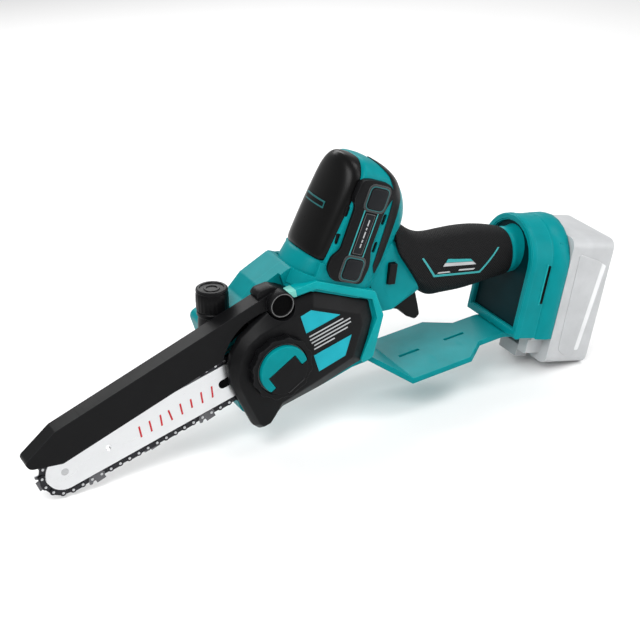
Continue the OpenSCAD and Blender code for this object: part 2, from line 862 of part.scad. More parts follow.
module grip_accents() {
    color(teal) stand() in_grip()
        translate([34, -grip_w / 2 - 1.4, -3]) cube([24, 0.8, 5]);
}

trigger_x = 118;
trigger_z = -10;

module trigger() {
    color(black) stand() difference() {
        slab(mid_y - 7, mid_y + 7) polygon(rounded([[112, -4], [111, -14], [116, -24], [124, -30], [129, -40],
            [136, -47], [141, -45], [142, -36], [143, -24], [142, -12], [126, -4]], 3));
        slab(mid_y - 5, mid_y + 5) polygon([[118, -16], [128, -16], [136, -22], [138, -14], [128, -8], [150, 0], [118, 0]]);
        rod(trigger_x, trigger_z, 1.5 + run_gap, 0, 40);
    }
}

module trigger_pin() {
    color(steel) stand() rod(trigger_x, trigger_z, 1.5, mid_y - 11, mid_y + 11);
}

module trigger_spring() {
    color(steel) stand() translate([136, mid_y, -6.5]) for (k = [0:3]) translate([0, 0, k * 2.2])
        rotate_extrude($fn = 32) translate([3.2, 0]) circle(r = 0.5, $fn = 12);
}

module trigger_switch() {
    color(black) stand() translate([120, mid_y - 7, 2]) cube([26, 14, 16]);
}

module lock_button() {
    color(black) stand() at_lock() translate([-3.6, mid_y - 24, -9]) cube([7.2, 14, 18]);
}

module lock_spring() {
    color(steel) stand() translate([lock_x, mid_y - 9.4, lock_z]) for (k = [0:1]) translate([0, k * 1.4, 0])
        rotate([90, 0, 0]) rotate_extrude($fn = 32) translate([2.6, 0]) circle(r = 0.4, $fn = 12);
}

// Hand guard plate: a ramp below the case, a wide flat run and a narrow tail under the foot
plate_run = [[62, -44], [80, -44], [106.5, -77], [205, -96], [207, -96.7], [222, -105.2],
    [222 - plate_t * 0.5, -105.2 - plate_t * 0.87], [205.5, -96.4 - plate_t], [104.3, -77 - plate_t * 1.03],
    [77.6, -44 - plate_t], [62, -44 - plate_t]];

module hand_guard() {
    color(teal) stand() difference() {
        intersection() {
            slab(mid_y - plate_w / 2, mid_y + plate_w / 2) polygon(plate_run);
            translate([0, mid_y, -130]) linear_extrude(height = 110) polygon([[60, -20], [78, -24], [104, -plate_w / 2],
                [162, -plate_w / 2], [182, -21], [222, -21], [222, 21], [182, 21], [162, plate_w / 2], [104, plate_w / 2],
                [78, 24], [60, 20]]);
        }
        for (x = [124, 169]) translate([x, mid_y, -81.5 - (x - 106) * 0.19]) rotate([0, 10.8, 0])
            translate([-10, -1.5, -10]) cube([20, 3, 20]);
    }
}

module hand_guard_screws() {
    color(steel) stand() for (y = [mid_y - 12, mid_y + 12]) translate([69, y, -44 - plate_t - 2.4]) cylinder(r = 3.5, h = 2.4);
}

module battery_mount() {
    color(teal) stand() on_rails() difference() {
        across_rails(mount_front, mount_rear) foot_arch(0);
        across_rails(mount_front + 3, mount_rear + 1) translate([-31.4, foot_bottom - 1])
            square([62.8, rail_top + 6 - foot_bottom]);
        across_rails(mount_front - 1, mount_front + 4) translate([-12, 40]) square([24, 30]);
    }
    color(grey) stand() on_rails() for (s = [-1, 1])
        across_rails(mount_front + 9, mount_front + 13) translate([s < 0 ? -31.4 : 27.4, foot_bottom + 2]) square([4, 84]);
}

module terminal_block() {
    color(black) stand() on_rails() {
        translate([mount_front - 5, -11.8, 40.2]) cube([8, 23.6, 29.6]);
        for (y = [-8, 0, 8]) translate([mount_front + 3, y - 0.5, blade_low]) cube([7, 1, 22]);
    }
}

// ---- Battery ----

module battery_block(n0, n1, half_w, low, high, r) {
    across_rails(n0, n1) polygon(rounded([[-half_w, low], [half_w, low], [half_w, high], [-half_w, high]], r));
}

module battery_case() {
    color(clear_grey) stand() on_rails() difference() {
        union() {
            battery_block(case_front, case_rear, battery_w / 2, battery_low, battery_low + battery_l, 8);
            battery_block(mount_front + 3.6, case_front + eps, 26.8, battery_low + 6, rail_top, 3);
            battery_block(mount_front + 3.6, mount_front + 8.4, 30.8, battery_low + 20, rail_top, 2);
        }
        battery_block(case_front + 2.5, case_rear - 2.5, battery_w / 2 - 2.5, battery_low + 2.5,
            battery_low + battery_l - 2.5, 6);
        for (y = [-8, 0, 8]) translate([mount_front + 3, y - 1.2, blade_low - 2]) cube([12, 2.4, battery_l]);
        translate([mount_front + 3, -15, battery_low - 1]) cube([17, 30, 16]);
    }
}

module battery_cells() {
    color([0.75, 0.72, 0.65]) stand() on_rails() for (row = [0, 1]) for (k = [0:4])
        translate([case_front + 12 + row * 19.5, -32.5, battery_low + 14 + k * 20]) rotate([-90, 0, 0]) cylinder(r = 9.2, h = 65);
}

module battery_button() {
    color([0.5, 0.5, 0.52]) stand() on_rails() translate([mount_front + 5, -13, battery_low - 2]) cube([12, 26, 12]);
}

module battery_contacts() {
    color([0.8, 0.65, 0.3]) stand() on_rails() for (y = [-8, 0, 8]) for (s = [-1, 1])
        translate([mount_front + 10.6, y + s * 0.9 - 0.25, blade_low + 2]) cube([4, 0.5, 16]);
}

guide_bar();
nose_sprocket();
nose_rivet();
tension_pin();
chain_drive_links();
chain_tie_straps();
chain_cutters();
chain_rivets();
drive_sprocket();
side_cover();
cover_badges();
clamp_stud();
clamp_knob();
knob_bow();
knob_flap();
flap_pin();
tension_ring();
upper_guard();
guard_pin();
guard_spring();
housing_left();
housing_right();
motor_cover();
side_inlay();
inlay_pads();
rear_trim();
housing_screws();
oil_tank();
oil_cap();
cap_seal();
oil_pump();
bar_plate();
gear_housing();
spindle();
spindle_bearings();
bevel_gear();
bevel_pinion();
motor_stator();
motor_rotor();
motor_shaft();
motor_bearings();
cooling_fan();
controller();
grip_sleeve();
grip_accents();
trigger();
trigger_pin();
trigger_spring();
trigger_switch();
lock_button();
lock_spring();
hand_guard();
hand_guard_screws();
battery_mount();
terminal_block();
battery_case();
battery_cells();
battery_button();
battery_contacts();
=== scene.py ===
import bpy
import bmesh
import json
import math
from mathutils import Matrix, Vector


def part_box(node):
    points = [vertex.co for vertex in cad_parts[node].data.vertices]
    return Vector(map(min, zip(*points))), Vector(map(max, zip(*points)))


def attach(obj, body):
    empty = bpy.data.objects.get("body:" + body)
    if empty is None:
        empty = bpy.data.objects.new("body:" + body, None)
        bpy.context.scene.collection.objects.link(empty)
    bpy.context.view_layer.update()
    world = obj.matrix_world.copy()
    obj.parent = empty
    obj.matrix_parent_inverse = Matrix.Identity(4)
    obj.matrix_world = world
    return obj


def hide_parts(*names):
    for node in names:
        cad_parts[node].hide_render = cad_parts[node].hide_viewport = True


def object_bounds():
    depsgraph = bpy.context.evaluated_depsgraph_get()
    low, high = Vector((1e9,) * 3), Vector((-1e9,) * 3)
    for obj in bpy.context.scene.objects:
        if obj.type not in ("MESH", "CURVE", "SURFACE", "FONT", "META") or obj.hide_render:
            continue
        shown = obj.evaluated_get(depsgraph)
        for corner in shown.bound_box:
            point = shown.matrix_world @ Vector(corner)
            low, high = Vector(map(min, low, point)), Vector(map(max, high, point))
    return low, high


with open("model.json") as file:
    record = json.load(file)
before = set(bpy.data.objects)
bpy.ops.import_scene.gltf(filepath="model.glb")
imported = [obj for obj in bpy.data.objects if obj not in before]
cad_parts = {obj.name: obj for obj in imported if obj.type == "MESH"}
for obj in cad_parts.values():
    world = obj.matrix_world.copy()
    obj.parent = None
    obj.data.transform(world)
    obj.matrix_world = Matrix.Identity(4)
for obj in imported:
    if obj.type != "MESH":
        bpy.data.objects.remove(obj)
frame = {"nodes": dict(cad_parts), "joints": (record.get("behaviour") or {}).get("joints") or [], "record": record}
cadLow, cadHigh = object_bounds()
nodes = frame["nodes"]
joints = {joint["name"]: joint for joint in frame["joints"]}

# Bar frame: x along the bar towards the battery, y towards the far side, z up from the bar.
# Its origin is on the knob's axis, in the bar's middle plane.
knobPlace = Vector(joints["knob_turn"]["pos_m"])
barAxis = Vector(joints["bar_tension"]["axis"])
barTilt = math.atan2(barAxis.z, barAxis.x)
barPlane = Vector(joints["sprocket_spin"]["pos_m"]).y
saw = Matrix.Translation((knobPlace.x, barPlane, knobPlace.z)) @ Matrix.Rotation(-barTilt, 4, "Y")

# Motor frame: z along the motor shaft, x rearwards and down across it
motorPlace = Vector(joints["motor_spin"]["pos_m"])
motorAxis = Vector(joints["motor_spin"]["axis"])
motorLean = math.atan2(motorAxis.x, motorAxis.z)
motor = Matrix.Translation(motorPlace) @ Matrix.Rotation(motorLean, 4, "Y")

# Rail frame: z up along the battery rails, x outwards to the battery's back
railUp = -Vector(joints["battery_slide"]["axis"])
railLean = math.atan2(railUp.x, railUp.z)
railRoot = saw @ Vector((0, motorPlace.y - barPlane, 0))
rails = Matrix.Translation(railRoot) @ Matrix.Rotation(railLean, 4, "Y")


def only(*objects):
    if bpy.context.mode != "OBJECT":
        bpy.ops.object.mode_set(mode="OBJECT")
    bpy.ops.object.select_all(action="DESELECT")
    for item in objects:
        item.select_set(True)
    bpy.context.view_layer.objects.active = objects[-1] if objects else None


def applyAll(piece):
    only(piece)
    for modifier in list(piece.modifiers):
        bpy.ops.object.modifier_apply(modifier=modifier.name)


def smooth(piece, angle=35):
    only(piece)
    bpy.ops.object.shade_smooth_by_angle(angle=math.radians(angle))


def copyOf(name, source):     # a loose copy with its own mesh
    only()
    piece = source.copy()
    piece.data = source.data.copy()
    for key in [key for key in piece.keys() if key.startswith("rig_")]:
        del piece[key]
    piece.parent = None
    piece.name = name
    piece.data.name = name
    bpy.context.scene.collection.objects.link(piece)
    return piece


def rounded(piece, width, segments=2, angle=34):     # width in mm
    bevel = piece.modifiers.new("edges", "BEVEL")
    bevel.width = width / 1000
    bevel.segments = segments
    bevel.limit_method = "ANGLE"
    bevel.angle_limit = math.radians(angle)
    bevel.use_clamp_overlap = True
    applyAll(piece)


def softCopy(name, source, width):     # a CAD shell with its doubles merged and its edges softened
    piece = copyOf(name, nodes[source])
    only(piece)
    bpy.ops.object.mode_set(mode="EDIT")
    bpy.ops.mesh.select_all(action="SELECT")
    bpy.ops.mesh.remove_doubles(threshold=0.00002)
    bpy.ops.mesh.dissolve_limited(angle_limit=math.radians(1.2))
    bpy.ops.object.mode_set(mode="OBJECT")
    rounded(piece, width, 2, 32)
    smooth(piece)
    even = piece.modifiers.new("even", "WEIGHTED_NORMAL")
    even.keep_sharp = True
    applyAll(piece)
    print("  piece", name, len(piece.data.polygons), "faces")
    return piece


def dress(piece, material, slot, body, *stoodFor):
    piece.data.materials.clear()
    piece.data.materials.append(material)
    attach(piece, body)
    if stoodFor:
        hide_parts(*stoodFor)
    return piece


def inPlace(piece, place):
    only(piece)
    piece.matrix_world = place
    bpy.ops.object.transform_apply(location=True, rotation=True, scale=True)


def startOutline(name, points, fill="NGON"):     # a ring whose corners are moved to their places, in mm
    only()
    bpy.ops.mesh.primitive_circle_add(vertices=len(points), radius=0.01, fill_type=fill)
    piece = bpy.context.object
    piece.name = name
    piece.data.name = name
    for vertex, point in zip(piece.data.vertices, points):
        vertex.co = Vector(point) / 1000
    return piece


def cutOut(name, outline, near, far, place, corner=1.5, edge=0.4, cornerSteps=3):     # a plate across y
    piece = startOutline(name, [(across, near, up) for across, up in outline])
    only(piece)
    bpy.ops.object.mode_set(mode="EDIT")
    bpy.ops.mesh.select_all(action="SELECT")
    if corner:
        bpy.ops.mesh.bevel(offset=corner / 1000, segments=cornerSteps, affect="VERTICES")
        bpy.ops.mesh.select_all(action="SELECT")
    bpy.ops.mesh.extrude_region_move(TRANSFORM_OT_translate={"value": (0, (far - near) / 1000, 0)})
    bpy.ops.mesh.select_all(action="SELECT")
    bpy.ops.mesh.normals_make_consistent(inside=False)
    bpy.ops.object.mode_set(mode="OBJECT")
    inPlace(piece, place)
    if edge:
        rounded(piece, edge)
    smooth(piece)
    return piece


def loft(name, rings, place, levels=2, angle=40, hoop=False):
    # Rings with the same count of points, in mm. A hoop comes round to its first ring and has no lids.
    piece = startOutline(name, rings[0], "NOTHING" if hoop else "NGON")
    only(piece)
    bpy.ops.object.mode_set(mode="EDIT")
    bpy.ops.mesh.select_mode(type="EDGE" if hoop else "FACE")
    bpy.ops.mesh.select_all(action="SELECT")
    for before, after in zip(rings, rings[1:] + rings[:1] if hoop else rings[1:]):
        bpy.ops.mesh.extrude_region_move(TRANSFORM_OT_translate={"value": (0, 0, 0)})
        mesh = bmesh.from_edit_mesh(piece.data)
        for vertex in [vertex for vertex in mesh.verts if vertex.select]:
            gaps = [(vertex.co * 1000 - Vector(point)).length for point in before]
            vertex.co = Vector(after[gaps.index(min(gaps))]) / 1000
        bmesh.update_edit_mesh(piece.data)
    bpy.ops.mesh.select_mode(type="VERT")
    bpy.ops.mesh.select_all(action="SELECT")
    if hoop:
        bpy.ops.mesh.remove_doubles(threshold=0.000001)
    bpy.ops.mesh.normals_make_consistent(inside=False)
    bpy.ops.object.mode_set(mode="OBJECT")
    inPlace(piece, place)
    if levels:
        soft = piece.modifiers.new("soft", "SUBSURF")
        soft.levels = levels
        soft.render_levels = levels
        applyAll(piece)
    smooth(piece, angle)
    return piece


def turned(name, profile, place, steps=64, rib=0.0, ribbed=()):     # (radius, height) pairs round z
    rings = []
    for index, (radius, height) in enumerate(profile):
        ring = []
        for step in range(steps):
            turn = math.tau * step / steps
            reach = radius - (rib if index in ribbed and step % 4 < 2 else 0)
            ring.append((reach * math.cos(turn), reach * math.sin(turn), height))
        rings.append(ring)
    return loft(name, rings, place, 0, 32)


def bead(name, radius, thick, place):     # a round bead, a ring of round section
    only()
    bpy.ops.mesh.primitive_torus_add(major_segments=96, minor_segments=12, major_radius=radius / 1000,
                                     minor_radius=thick / 1000)
    piece = bpy.context.object
    piece.name = name
    piece.data.name = name
    inPlace(piece, place)
    smooth(piece, 180)
    return piece


def combine(piece, tool, operation):
    join = piece.modifiers.new("join", "BOOLEAN")
    join.operation = operation
    join.solver = "EXACT"
    join.object = tool
    applyAll(piece)
    bpy.data.objects.remove(tool, do_unlink=True)
    return piece


def inlaid(name, shell, lift, outline, near, far, place, corner=0.8):   # a thin layer that follows a shell
    piece = copyOf(name, shell)
    grow = piece.modifiers.new("grow", "DISPLACE")
    grow.strength = lift / 1000
    grow.mid_level = 0.0
    applyAll(piece)
    combine(piece, cutOut(name + "Tool", outline, near, far, place, corner, 0), "INTERSECT")
    smooth(piece)
    return piece


def offset(x, y, z):
    return Matrix.Translation(Vector((x, y, z)) / 1000)


def box(name, x0, x1, y0, y1, z0, z1, place):
    return cutOut(name, [(x0, z0), (x1, z0), (x1, z1), (x0, z1)], y0, y1, place, 0, 0)


def panel(middle, wide, high):     # corners of an upright rectangle, as (across, up) pairs
    across, up = middle
    return [(across - wide / 2, up - high / 2), (across + wide / 2, up - high / 2),
            (across + wide / 2, up + high / 2), (across - wide / 2, up + high / 2)]


def put(tree, kind, inputs=None, **settings):
    made = tree.nodes.new(kind)
    for key, value in settings.items():
        setattr(made, key, value)
    for key, value in (inputs or {}).items():
        socket = made.inputs[key]
        if isinstance(value, bpy.types.NodeSocket):
            tree.links.new(value, socket)
        else:
            socket.default_value = value
    return made


def effect(name, inputs, outputs):
    tree = bpy.data.node_groups.new(name, "ShaderNodeTree")
    for label, kind, value in inputs:
        socket = tree.interface.new_socket(label, in_out="INPUT", socket_type="NodeSocket" + kind)
        if value is not None:
            socket.default_value = value
    for label, kind in outputs:
        tree.interface.new_socket(label, in_out="OUTPUT", socket_type="NodeSocket" + kind)
    entry = tree.nodes.new("NodeGroupInput")
    leave = tree.nodes.new("NodeGroupOutput")
    return tree, entry, leave


def use(tree, group, inputs):
    made = tree.nodes.new("ShaderNodeGroup")
    made.node_tree = group
    for key, value in inputs.items():
        socket = made.inputs[key]
        if isinstance(value, bpy.types.NodeSocket):
            tree.links.new(value, socket)
        else:
            socket.default_value = value
    return made


def mathNode(tree, operation, first, second=None, clamp=False):
    made = tree.nodes.new("ShaderNodeMath")
    made.operation = operation
    made.use_clamp = clamp
    for index, value in enumerate((first, second)):
        if value is None:
            continue
        if isinstance(value, bpy.types.NodeSocket):
            tree.links.new(value, made.inputs[index])
        else:
            made.inputs[index].default_value = value
    return made.outputs[0]


def mixColour(tree, factor, first, second):
    made = tree.nodes.new("ShaderNodeMix")
    made.data_type = "RGBA"
    for index, value in ((0, factor), (6, first), (7, second)):
        if isinstance(value, bpy.types.NodeSocket):
            tree.links.new(value, made.inputs[index])
        else:
            made.inputs[index].default_value = value
    return made.outputs[2]


def makeMouldGrain():     # the fine leathery grain of a spark-eroded mould
    tree, entry, leave = effect("mouldGrain", [("Vector", "Vector", None), ("Scale", "Float", 900.0)],
                                [("Height", "Float"), ("Tone", "Float")])
    vector = entry.outputs["Vector"]
    cells = put(tree, "ShaderNodeTexVoronoi", {"Vector": vector, "Scale": entry.outputs["Scale"]},
                feature="SMOOTH_F1")
    broad = put(tree, "ShaderNodeTexNoise", {"Vector": vector, "Scale": 55.0, "Detail": 4.0})
    height = mathNode(tree, "MULTIPLY", cells.outputs["Distance"], 1.3)
    tree.links.new(height, leave.inputs["Height"])
    tree.links.new(broad.outputs[0], leave.inputs["Tone"])
    return tree


def makeEdgeWearAndHighlight():     # a mask of rubbed edges, broken up by noise, that lightens the edges: partly wear, partly painted highlight
    tree, entry, leave = effect("edgeWearAndHighlight", [("Vector", "Vector", None), ("Reach", "Float", 0.0006)],
                                [("Mask", "Float")])
    bent = put(tree, "ShaderNodeBevel", {"Radius": entry.outputs["Reach"]}, samples=4)
    flat = tree.nodes.new("ShaderNodeNewGeometry")
    dot = put(tree, "ShaderNodeVectorMath", {0: bent.outputs[0], 1: flat.outputs["Normal"]},
              operation="DOT_PRODUCT")
    bend = mathNode(tree, "SUBTRACT", 1.0, dot.outputs["Value"])
    sharp = mathNode(tree, "MULTIPLY", bend, 9.0, True)
    patches = put(tree, "ShaderNodeTexNoise",
                  {"Vector": entry.outputs["Vector"], "Scale": 70.0, "Detail": 5.0})
    broken = mathNode(tree, "MULTIPLY", sharp, mathNode(tree, "ADD", patches.outputs[0], 0.25), True)
    tree.links.new(broken, leave.inputs["Mask"])
    return tree


def makeHandling():     # cloudy shine left by hands, and a few hairline scratches
    tree, entry, leave = effect("handling", [("Vector", "Vector", None), ("Scale", "Float", 22.0)],
                                [("Cloud", "Float"), ("Hairlines", "Float")])
    cloud = put(tree, "ShaderNodeTexNoise",
                {"Vector": entry.outputs["Vector"], "Scale": entry.outputs["Scale"], "Detail": 6.0,
                 "Roughness": 0.62})
    drawn = put(tree, "ShaderNodeMapping", {"Vector": entry.outputs["Vector"]})
    drawn.inputs["Rotation"].default_value = (0.4, 0.9, 0.2)
    drawn.inputs["Scale"].default_value = (26.0, 26.0, 900.0)
    lines = put(tree, "ShaderNodeTexNoise", {"Vector": drawn.outputs[0], "Scale": 1.0, "Detail": 2.0})
    few = mathNode(tree, "MULTIPLY", mathNode(tree, "SUBTRACT", lines.outputs[0], 0.64), 9.0, True)
    tree.links.new(cloud.outputs[0], leave.inputs["Cloud"])
    tree.links.new(few, leave.inputs["Hairlines"])
    return tree


def makeBrushed():      # fine lines that run along the vector's own x
    tree, entry, leave = effect("brushedLines", [("Vector", "Vector", None), ("Fineness", "Float", 2600.0)],
                                [("Height", "Float")])
    squeeze = put(tree, "ShaderNodeVectorMath", {0: entry.outputs["Vector"], 1: (0.02, 1.0, 1.0)},
                  operation="MULTIPLY")
    lines = put(tree, "ShaderNodeTexNoise",
                {"Vector": squeeze.outputs[0], "Scale": entry.outputs["Fineness"], "Detail": 3.0})
    tree.links.new(lines.outputs[0], leave.inputs["Height"])
    return tree


grainGroup = makeMouldGrain()
wearAndHighlightGroup = makeEdgeWearAndHighlight()
handlingGroup = makeHandling()
brushedGroup = makeBrushed()


def rgba(colour):
    return (*colour, 1.0)


def startMaterial(name):
    material = bpy.data.materials.new(name)
    material.use_nodes = True
    tree = material.node_tree
    tree.nodes.clear()
    output = tree.nodes.new("ShaderNodeOutputMaterial")
    shader = tree.nodes.new("ShaderNodeBsdfPrincipled")
    tree.links.new(shader.outputs[0], output.inputs[0])
    coords = tree.nodes.new("ShaderNodeTexCoord")
    return material, tree, shader, coords.outputs["Object"]


def moulded(name, colour, edge, rough=0.42, grain=900.0, depth=0.00004, wearAndHighlight=0.5, gloss=0.3):
    material, tree, shader, vector = startMaterial(name)
    grainNode = use(tree, grainGroup, {"Vector": vector, "Scale": grain})
    wearAndHighlightNode = use(tree, wearAndHighlightGroup, {"Vector": vector})
    handled = use(tree, handlingGroup, {"Vector": vector})
    darker = rgba([value * 0.82 for value in colour])
    lighter = rgba([min(1, value * 1.15) for value in colour])
    body = mixColour(tree, grainNode.outputs["Tone"], darker, lighter)
    # the edge colour is lighter than the body: partly rubbed wear, partly painted highlight on the edges
    rubbedAndLit = mathNode(tree, "MULTIPLY", wearAndHighlightNode.outputs["Mask"], wearAndHighlight)
    tree.links.new(mixColour(tree, rubbedAndLit, body, rgba(edge)), shader.inputs["Base Color"])
    shine = mathNode(tree, "MULTIPLY", mathNode(tree, "SUBTRACT", handled.outputs["Cloud"], 0.5), 0.24)
    scored = mathNode(tree, "MULTIPLY", handled.outputs["Hairlines"], 0.10)
    roughness = mathNode(tree, "ADD", mathNode(tree, "ADD", shine, scored), rough, True)
    tree.links.new(roughness, shader.inputs["Roughness"])
    bump = put(tree, "ShaderNodeBump",
               {"Height": grainNode.outputs["Height"], "Strength": 0.55, "Distance": depth})
    tree.links.new(bump.outputs[0], shader.inputs["Normal"])
    shader.inputs["Specular IOR Level"].default_value = gloss
    return material


def metal(name, colour, rough=0.3, turn=0.0, fineness=2600.0, depth=0.00002, dark=0.7, wearAndHighlight=0.3):
    material, tree, shader, vector = startMaterial(name)
    laid = put(tree, "ShaderNodeMapping", {"Vector": vector})
    laid.inputs["Rotation"].default_value = (0.0, turn, 0.0)
    lines = use(tree, brushedGroup, {"Vector": laid.outputs[0], "Fineness": fineness})
    handled = use(tree, handlingGroup, {"Vector": vector, "Scale": 60.0})
    wearAndHighlightNode = use(tree, wearAndHighlightGroup, {"Vector": vector, "Reach": 0.0004})
    dull = rgba([value * dark for value in colour])
    stained = mixColour(tree, handled.outputs["Cloud"], dull, rgba(colour))
    bright = rgba([min(1.0, value * 1.35) for value in colour])
    # the edges are brightened: partly rubbed wear, partly painted highlight
    rubbedAndLit = mathNode(tree, "MULTIPLY", wearAndHighlightNode.outputs["Mask"], wearAndHighlight)
    tree.links.new(mixColour(tree, rubbedAndLit, stained, bright), shader.inputs["Base Color"])
    swing = mathNode(tree, "MULTIPLY", mathNode(tree, "SUBTRACT", lines.outputs[0], 0.5), 0.35)
    marked = mathNode(tree, "MULTIPLY", handled.outputs["Hairlines"], 0.12)
    tree.links.new(mathNode(tree, "ADD", mathNode(tree, "ADD", swing, marked), rough, True),
                   shader.inputs["Roughness"])
    bump = put(tree, "ShaderNodeBump", {"Height": lines.outputs[0], "Strength": 0.4, "Distance": depth})
    tree.links.new(bump.outputs[0], shader.inputs["Normal"])
    shader.inputs["Metallic"].default_value = 1.0
    return material


def hatchedRubber(name, colour, pitch, turn):   # crossed ribs in the grip's own plane
    material, tree, shader, vector = startMaterial(name)
    laid = put(tree, "ShaderNodeMapping", {"Vector": vector})
    laid.inputs["Rotation"].default_value = (0.0, turn, 0.0)
    sides = []
    for slant in (1.0, -1.0):
        parts = put(tree, "ShaderNodeSeparateXYZ", {0: laid.outputs[0]})
        sideways = mathNode(tree, "MULTIPLY", parts.outputs[1], slant)
        upright = mathNode(tree, "MULTIPLY", parts.outputs[2], slant)
        along = mathNode(tree, "ADD", upright, mathNode(tree, "ADD", parts.outputs[0], sideways))
        sides.append(mathNode(tree, "SINE", mathNode(tree, "MULTIPLY", along, math.tau / pitch)))
    ribs = mathNode(tree, "MAXIMUM", sides[0], sides[1])
    lifted = mathNode(tree, "MULTIPLY", mathNode(tree, "ADD", ribs, 1.0), 0.5)
    handled = use(tree, handlingGroup, {"Vector": vector, "Scale": 30.0})
    # grooves darker and ribs lighter than the rubber: painted shade and painted highlight on the hatch
    tree.links.new(mixColour(tree, lifted, rgba([value * 0.45 for value in colour]),
                             rgba([value * 1.5 for value in colour])), shader.inputs["Base Color"])
    shine = mathNode(tree, "MULTIPLY", mathNode(tree, "SUBTRACT", handled.outputs["Cloud"], 0.5), 0.3)
    tree.links.new(mathNode(tree, "ADD", shine, 0.62, True), shader.inputs["Roughness"])
    bump = put(tree, "ShaderNodeBump", {"Height": lifted, "Strength": 0.9, "Distance": 0.0004})
    tree.links.new(bump.outputs[0], shader.inputs["Normal"])
    shader.inputs["Specular IOR Level"].default_value = 0.14
    return material


gripTurn = math.radians(19.5) - barTilt     # the hatch follows the grip's own drop
paints = {
    "teal": moulded("satinTeal", (0.0, 0.22, 0.24), (0.02, 0.46, 0.48), 0.38, 1200, 0.00002, 0.5, 0.07),
    # a brighter teal for chamfers and edges: painted highlight
    "tealPaintedHighlight": moulded("paintedHighlightTeal", (0.0, 0.29, 0.31), (0.1, 0.65, 0.62), 0.34, 1200, 0.00001, 0.6, 0.1),
    "tealDull": moulded("dullTealLine", (0.01, 0.11, 0.115), (0.05, 0.3, 0.3), 0.4, depth=0.00001, wearAndHighlight=0.3),
    "tealLine": moulded("tealLine", (0.02, 0.30, 0.31), (0.2, 0.6, 0.6), 0.35, depth=0.00001, wearAndHighlight=0.3),
    # a near-black teal for the foot's bowl: painted shade in the recess
    "tealPaintedShade": moulded("paintedShadeTeal", (0.0, 0.016, 0.020), (0.0, 0.06, 0.07), 0.5, depth=0.00001, wearAndHighlight=0.2,
                        gloss=0.06),
    # a pale mint teal for the end of the cover rim: painted highlight
    "tealEndHighlight": moulded("paintedHighlightTealEnd", (0.16, 0.52, 0.45), (0.5, 0.85, 0.78), 0.35, depth=0.00001, wearAndHighlight=0.3),
    "black": moulded("grainedBlack", (0.0042, 0.0043, 0.0048), (0.055, 0.055, 0.06), 0.42, gloss=0.12),
    "capBlack": moulded("deepSatinBlack", (0.0035, 0.0035, 0.0036), (0.02, 0.02, 0.02), 0.3, 1400, 0.00001,
                        0.3, 0.14),
    "smoke": moulded("satinBlack", (0.0036, 0.0036, 0.004), (0.05, 0.05, 0.055), 0.36, 1400, 0.00001, 0.45,
                      0.1),
    "padRing": moulded("greyRing", (0.030, 0.034, 0.035), (0.16, 0.17, 0.17), 0.4, depth=0.00001, wearAndHighlight=0.6),
    # a light grey for the strip's trim, and for thin rings on the knob and boss edges, where it is painted
    # highlight
    "greyTrimAndHighlight": moulded("greyTrimAndHighlight", (0.10, 0.10, 0.10), (0.3, 0.3, 0.3), 0.35, depth=0.00001, wearAndHighlight=0.4),
    "pad": moulded("darkGreyPad", (0.010, 0.011, 0.013), (0.08, 0.08, 0.08), 0.5, wearAndHighlight=0.4, gloss=0.12),
    # near black for holes and slots: painted shadow
    "shadow": moulded("paintedShadowBlack", (0.0015, 0.0015, 0.0016), (0.01, 0.01, 0.01), 0.8, wearAndHighlight=0.1, gloss=0.05),
    "cyan": moulded("cyanFilm", (0.010, 0.36, 0.44), (0.3, 0.7, 0.75), 0.4, 500, 0.000004, 0.1, 0.12),
    "white": moulded("whiteInk", (0.72, 0.73, 0.74), (0.9, 0.9, 0.9), 0.5, depth=0.000004, wearAndHighlight=0.1),
    "red": moulded("redInk", (0.50, 0.010, 0.016), (0.6, 0.1, 0.1), 0.4, depth=0.000004, wearAndHighlight=0.1),
    "silver": moulded("silverInk", (0.42, 0.43, 0.44), (0.8, 0.8, 0.8), 0.32, depth=0.000004, wearAndHighlight=0.1),
    "rubber": moulded("plainRubber", (0.005, 0.005, 0.0055), (0.04, 0.04, 0.04), 0.55, wearAndHighlight=0.4, gloss=0.12),
    "grip": hatchedRubber("hatchedRubber", (0.0046, 0.0046, 0.005), 0.0026, gripTurn),
    "seal": moulded("sealRubber", (0.30, 0.06, 0.04), (0.4, 0.12, 0.1), 0.6),
    "tank": moulded("naturalTank", (0.62, 0.66, 0.55), (0.8, 0.8, 0.75), 0.4),
    "ghost": moulded("paleGreyPack", (0.47, 0.48, 0.49), (0.8, 0.8, 0.81), 0.36),
    "ghostDark": moulded("greyPack", (0.34, 0.35, 0.36), (0.6, 0.6, 0.6), 0.4, wearAndHighlight=0.3),
    "board": moulded("coatedBoard", (0.02, 0.10, 0.04), (0.2, 0.4, 0.2), 0.35),
    "barSteel": metal("groundBar", (0.80, 0.81, 0.82), 0.34, turn=barTilt, dark=0.93),
    "chainSteel": metal("oiledChain", (0.045, 0.045, 0.05), 0.36, dark=0.55, wearAndHighlight=0.8),
    "cutterSteel": metal("platedCutter", (0.17, 0.17, 0.18), 0.28, dark=0.5, wearAndHighlight=0.8),
    "steel": metal("platedSteel", (0.60, 0.61, 0.62), 0.26),
    "iron": metal("laminatedIron", (0.22, 0.22, 0.23), 0.5, fineness=4200),
    "copper": metal("copperWinding", (0.72, 0.30, 0.13), 0.3, fineness=1800),
    "alloy": metal("castAlloy", (0.52, 0.53, 0.54), 0.5, fineness=900, depth=0.00006),
    "brass": metal("platedBrass", (0.75, 0.52, 0.18), 0.25),
}
print("materials made:", len(paints))

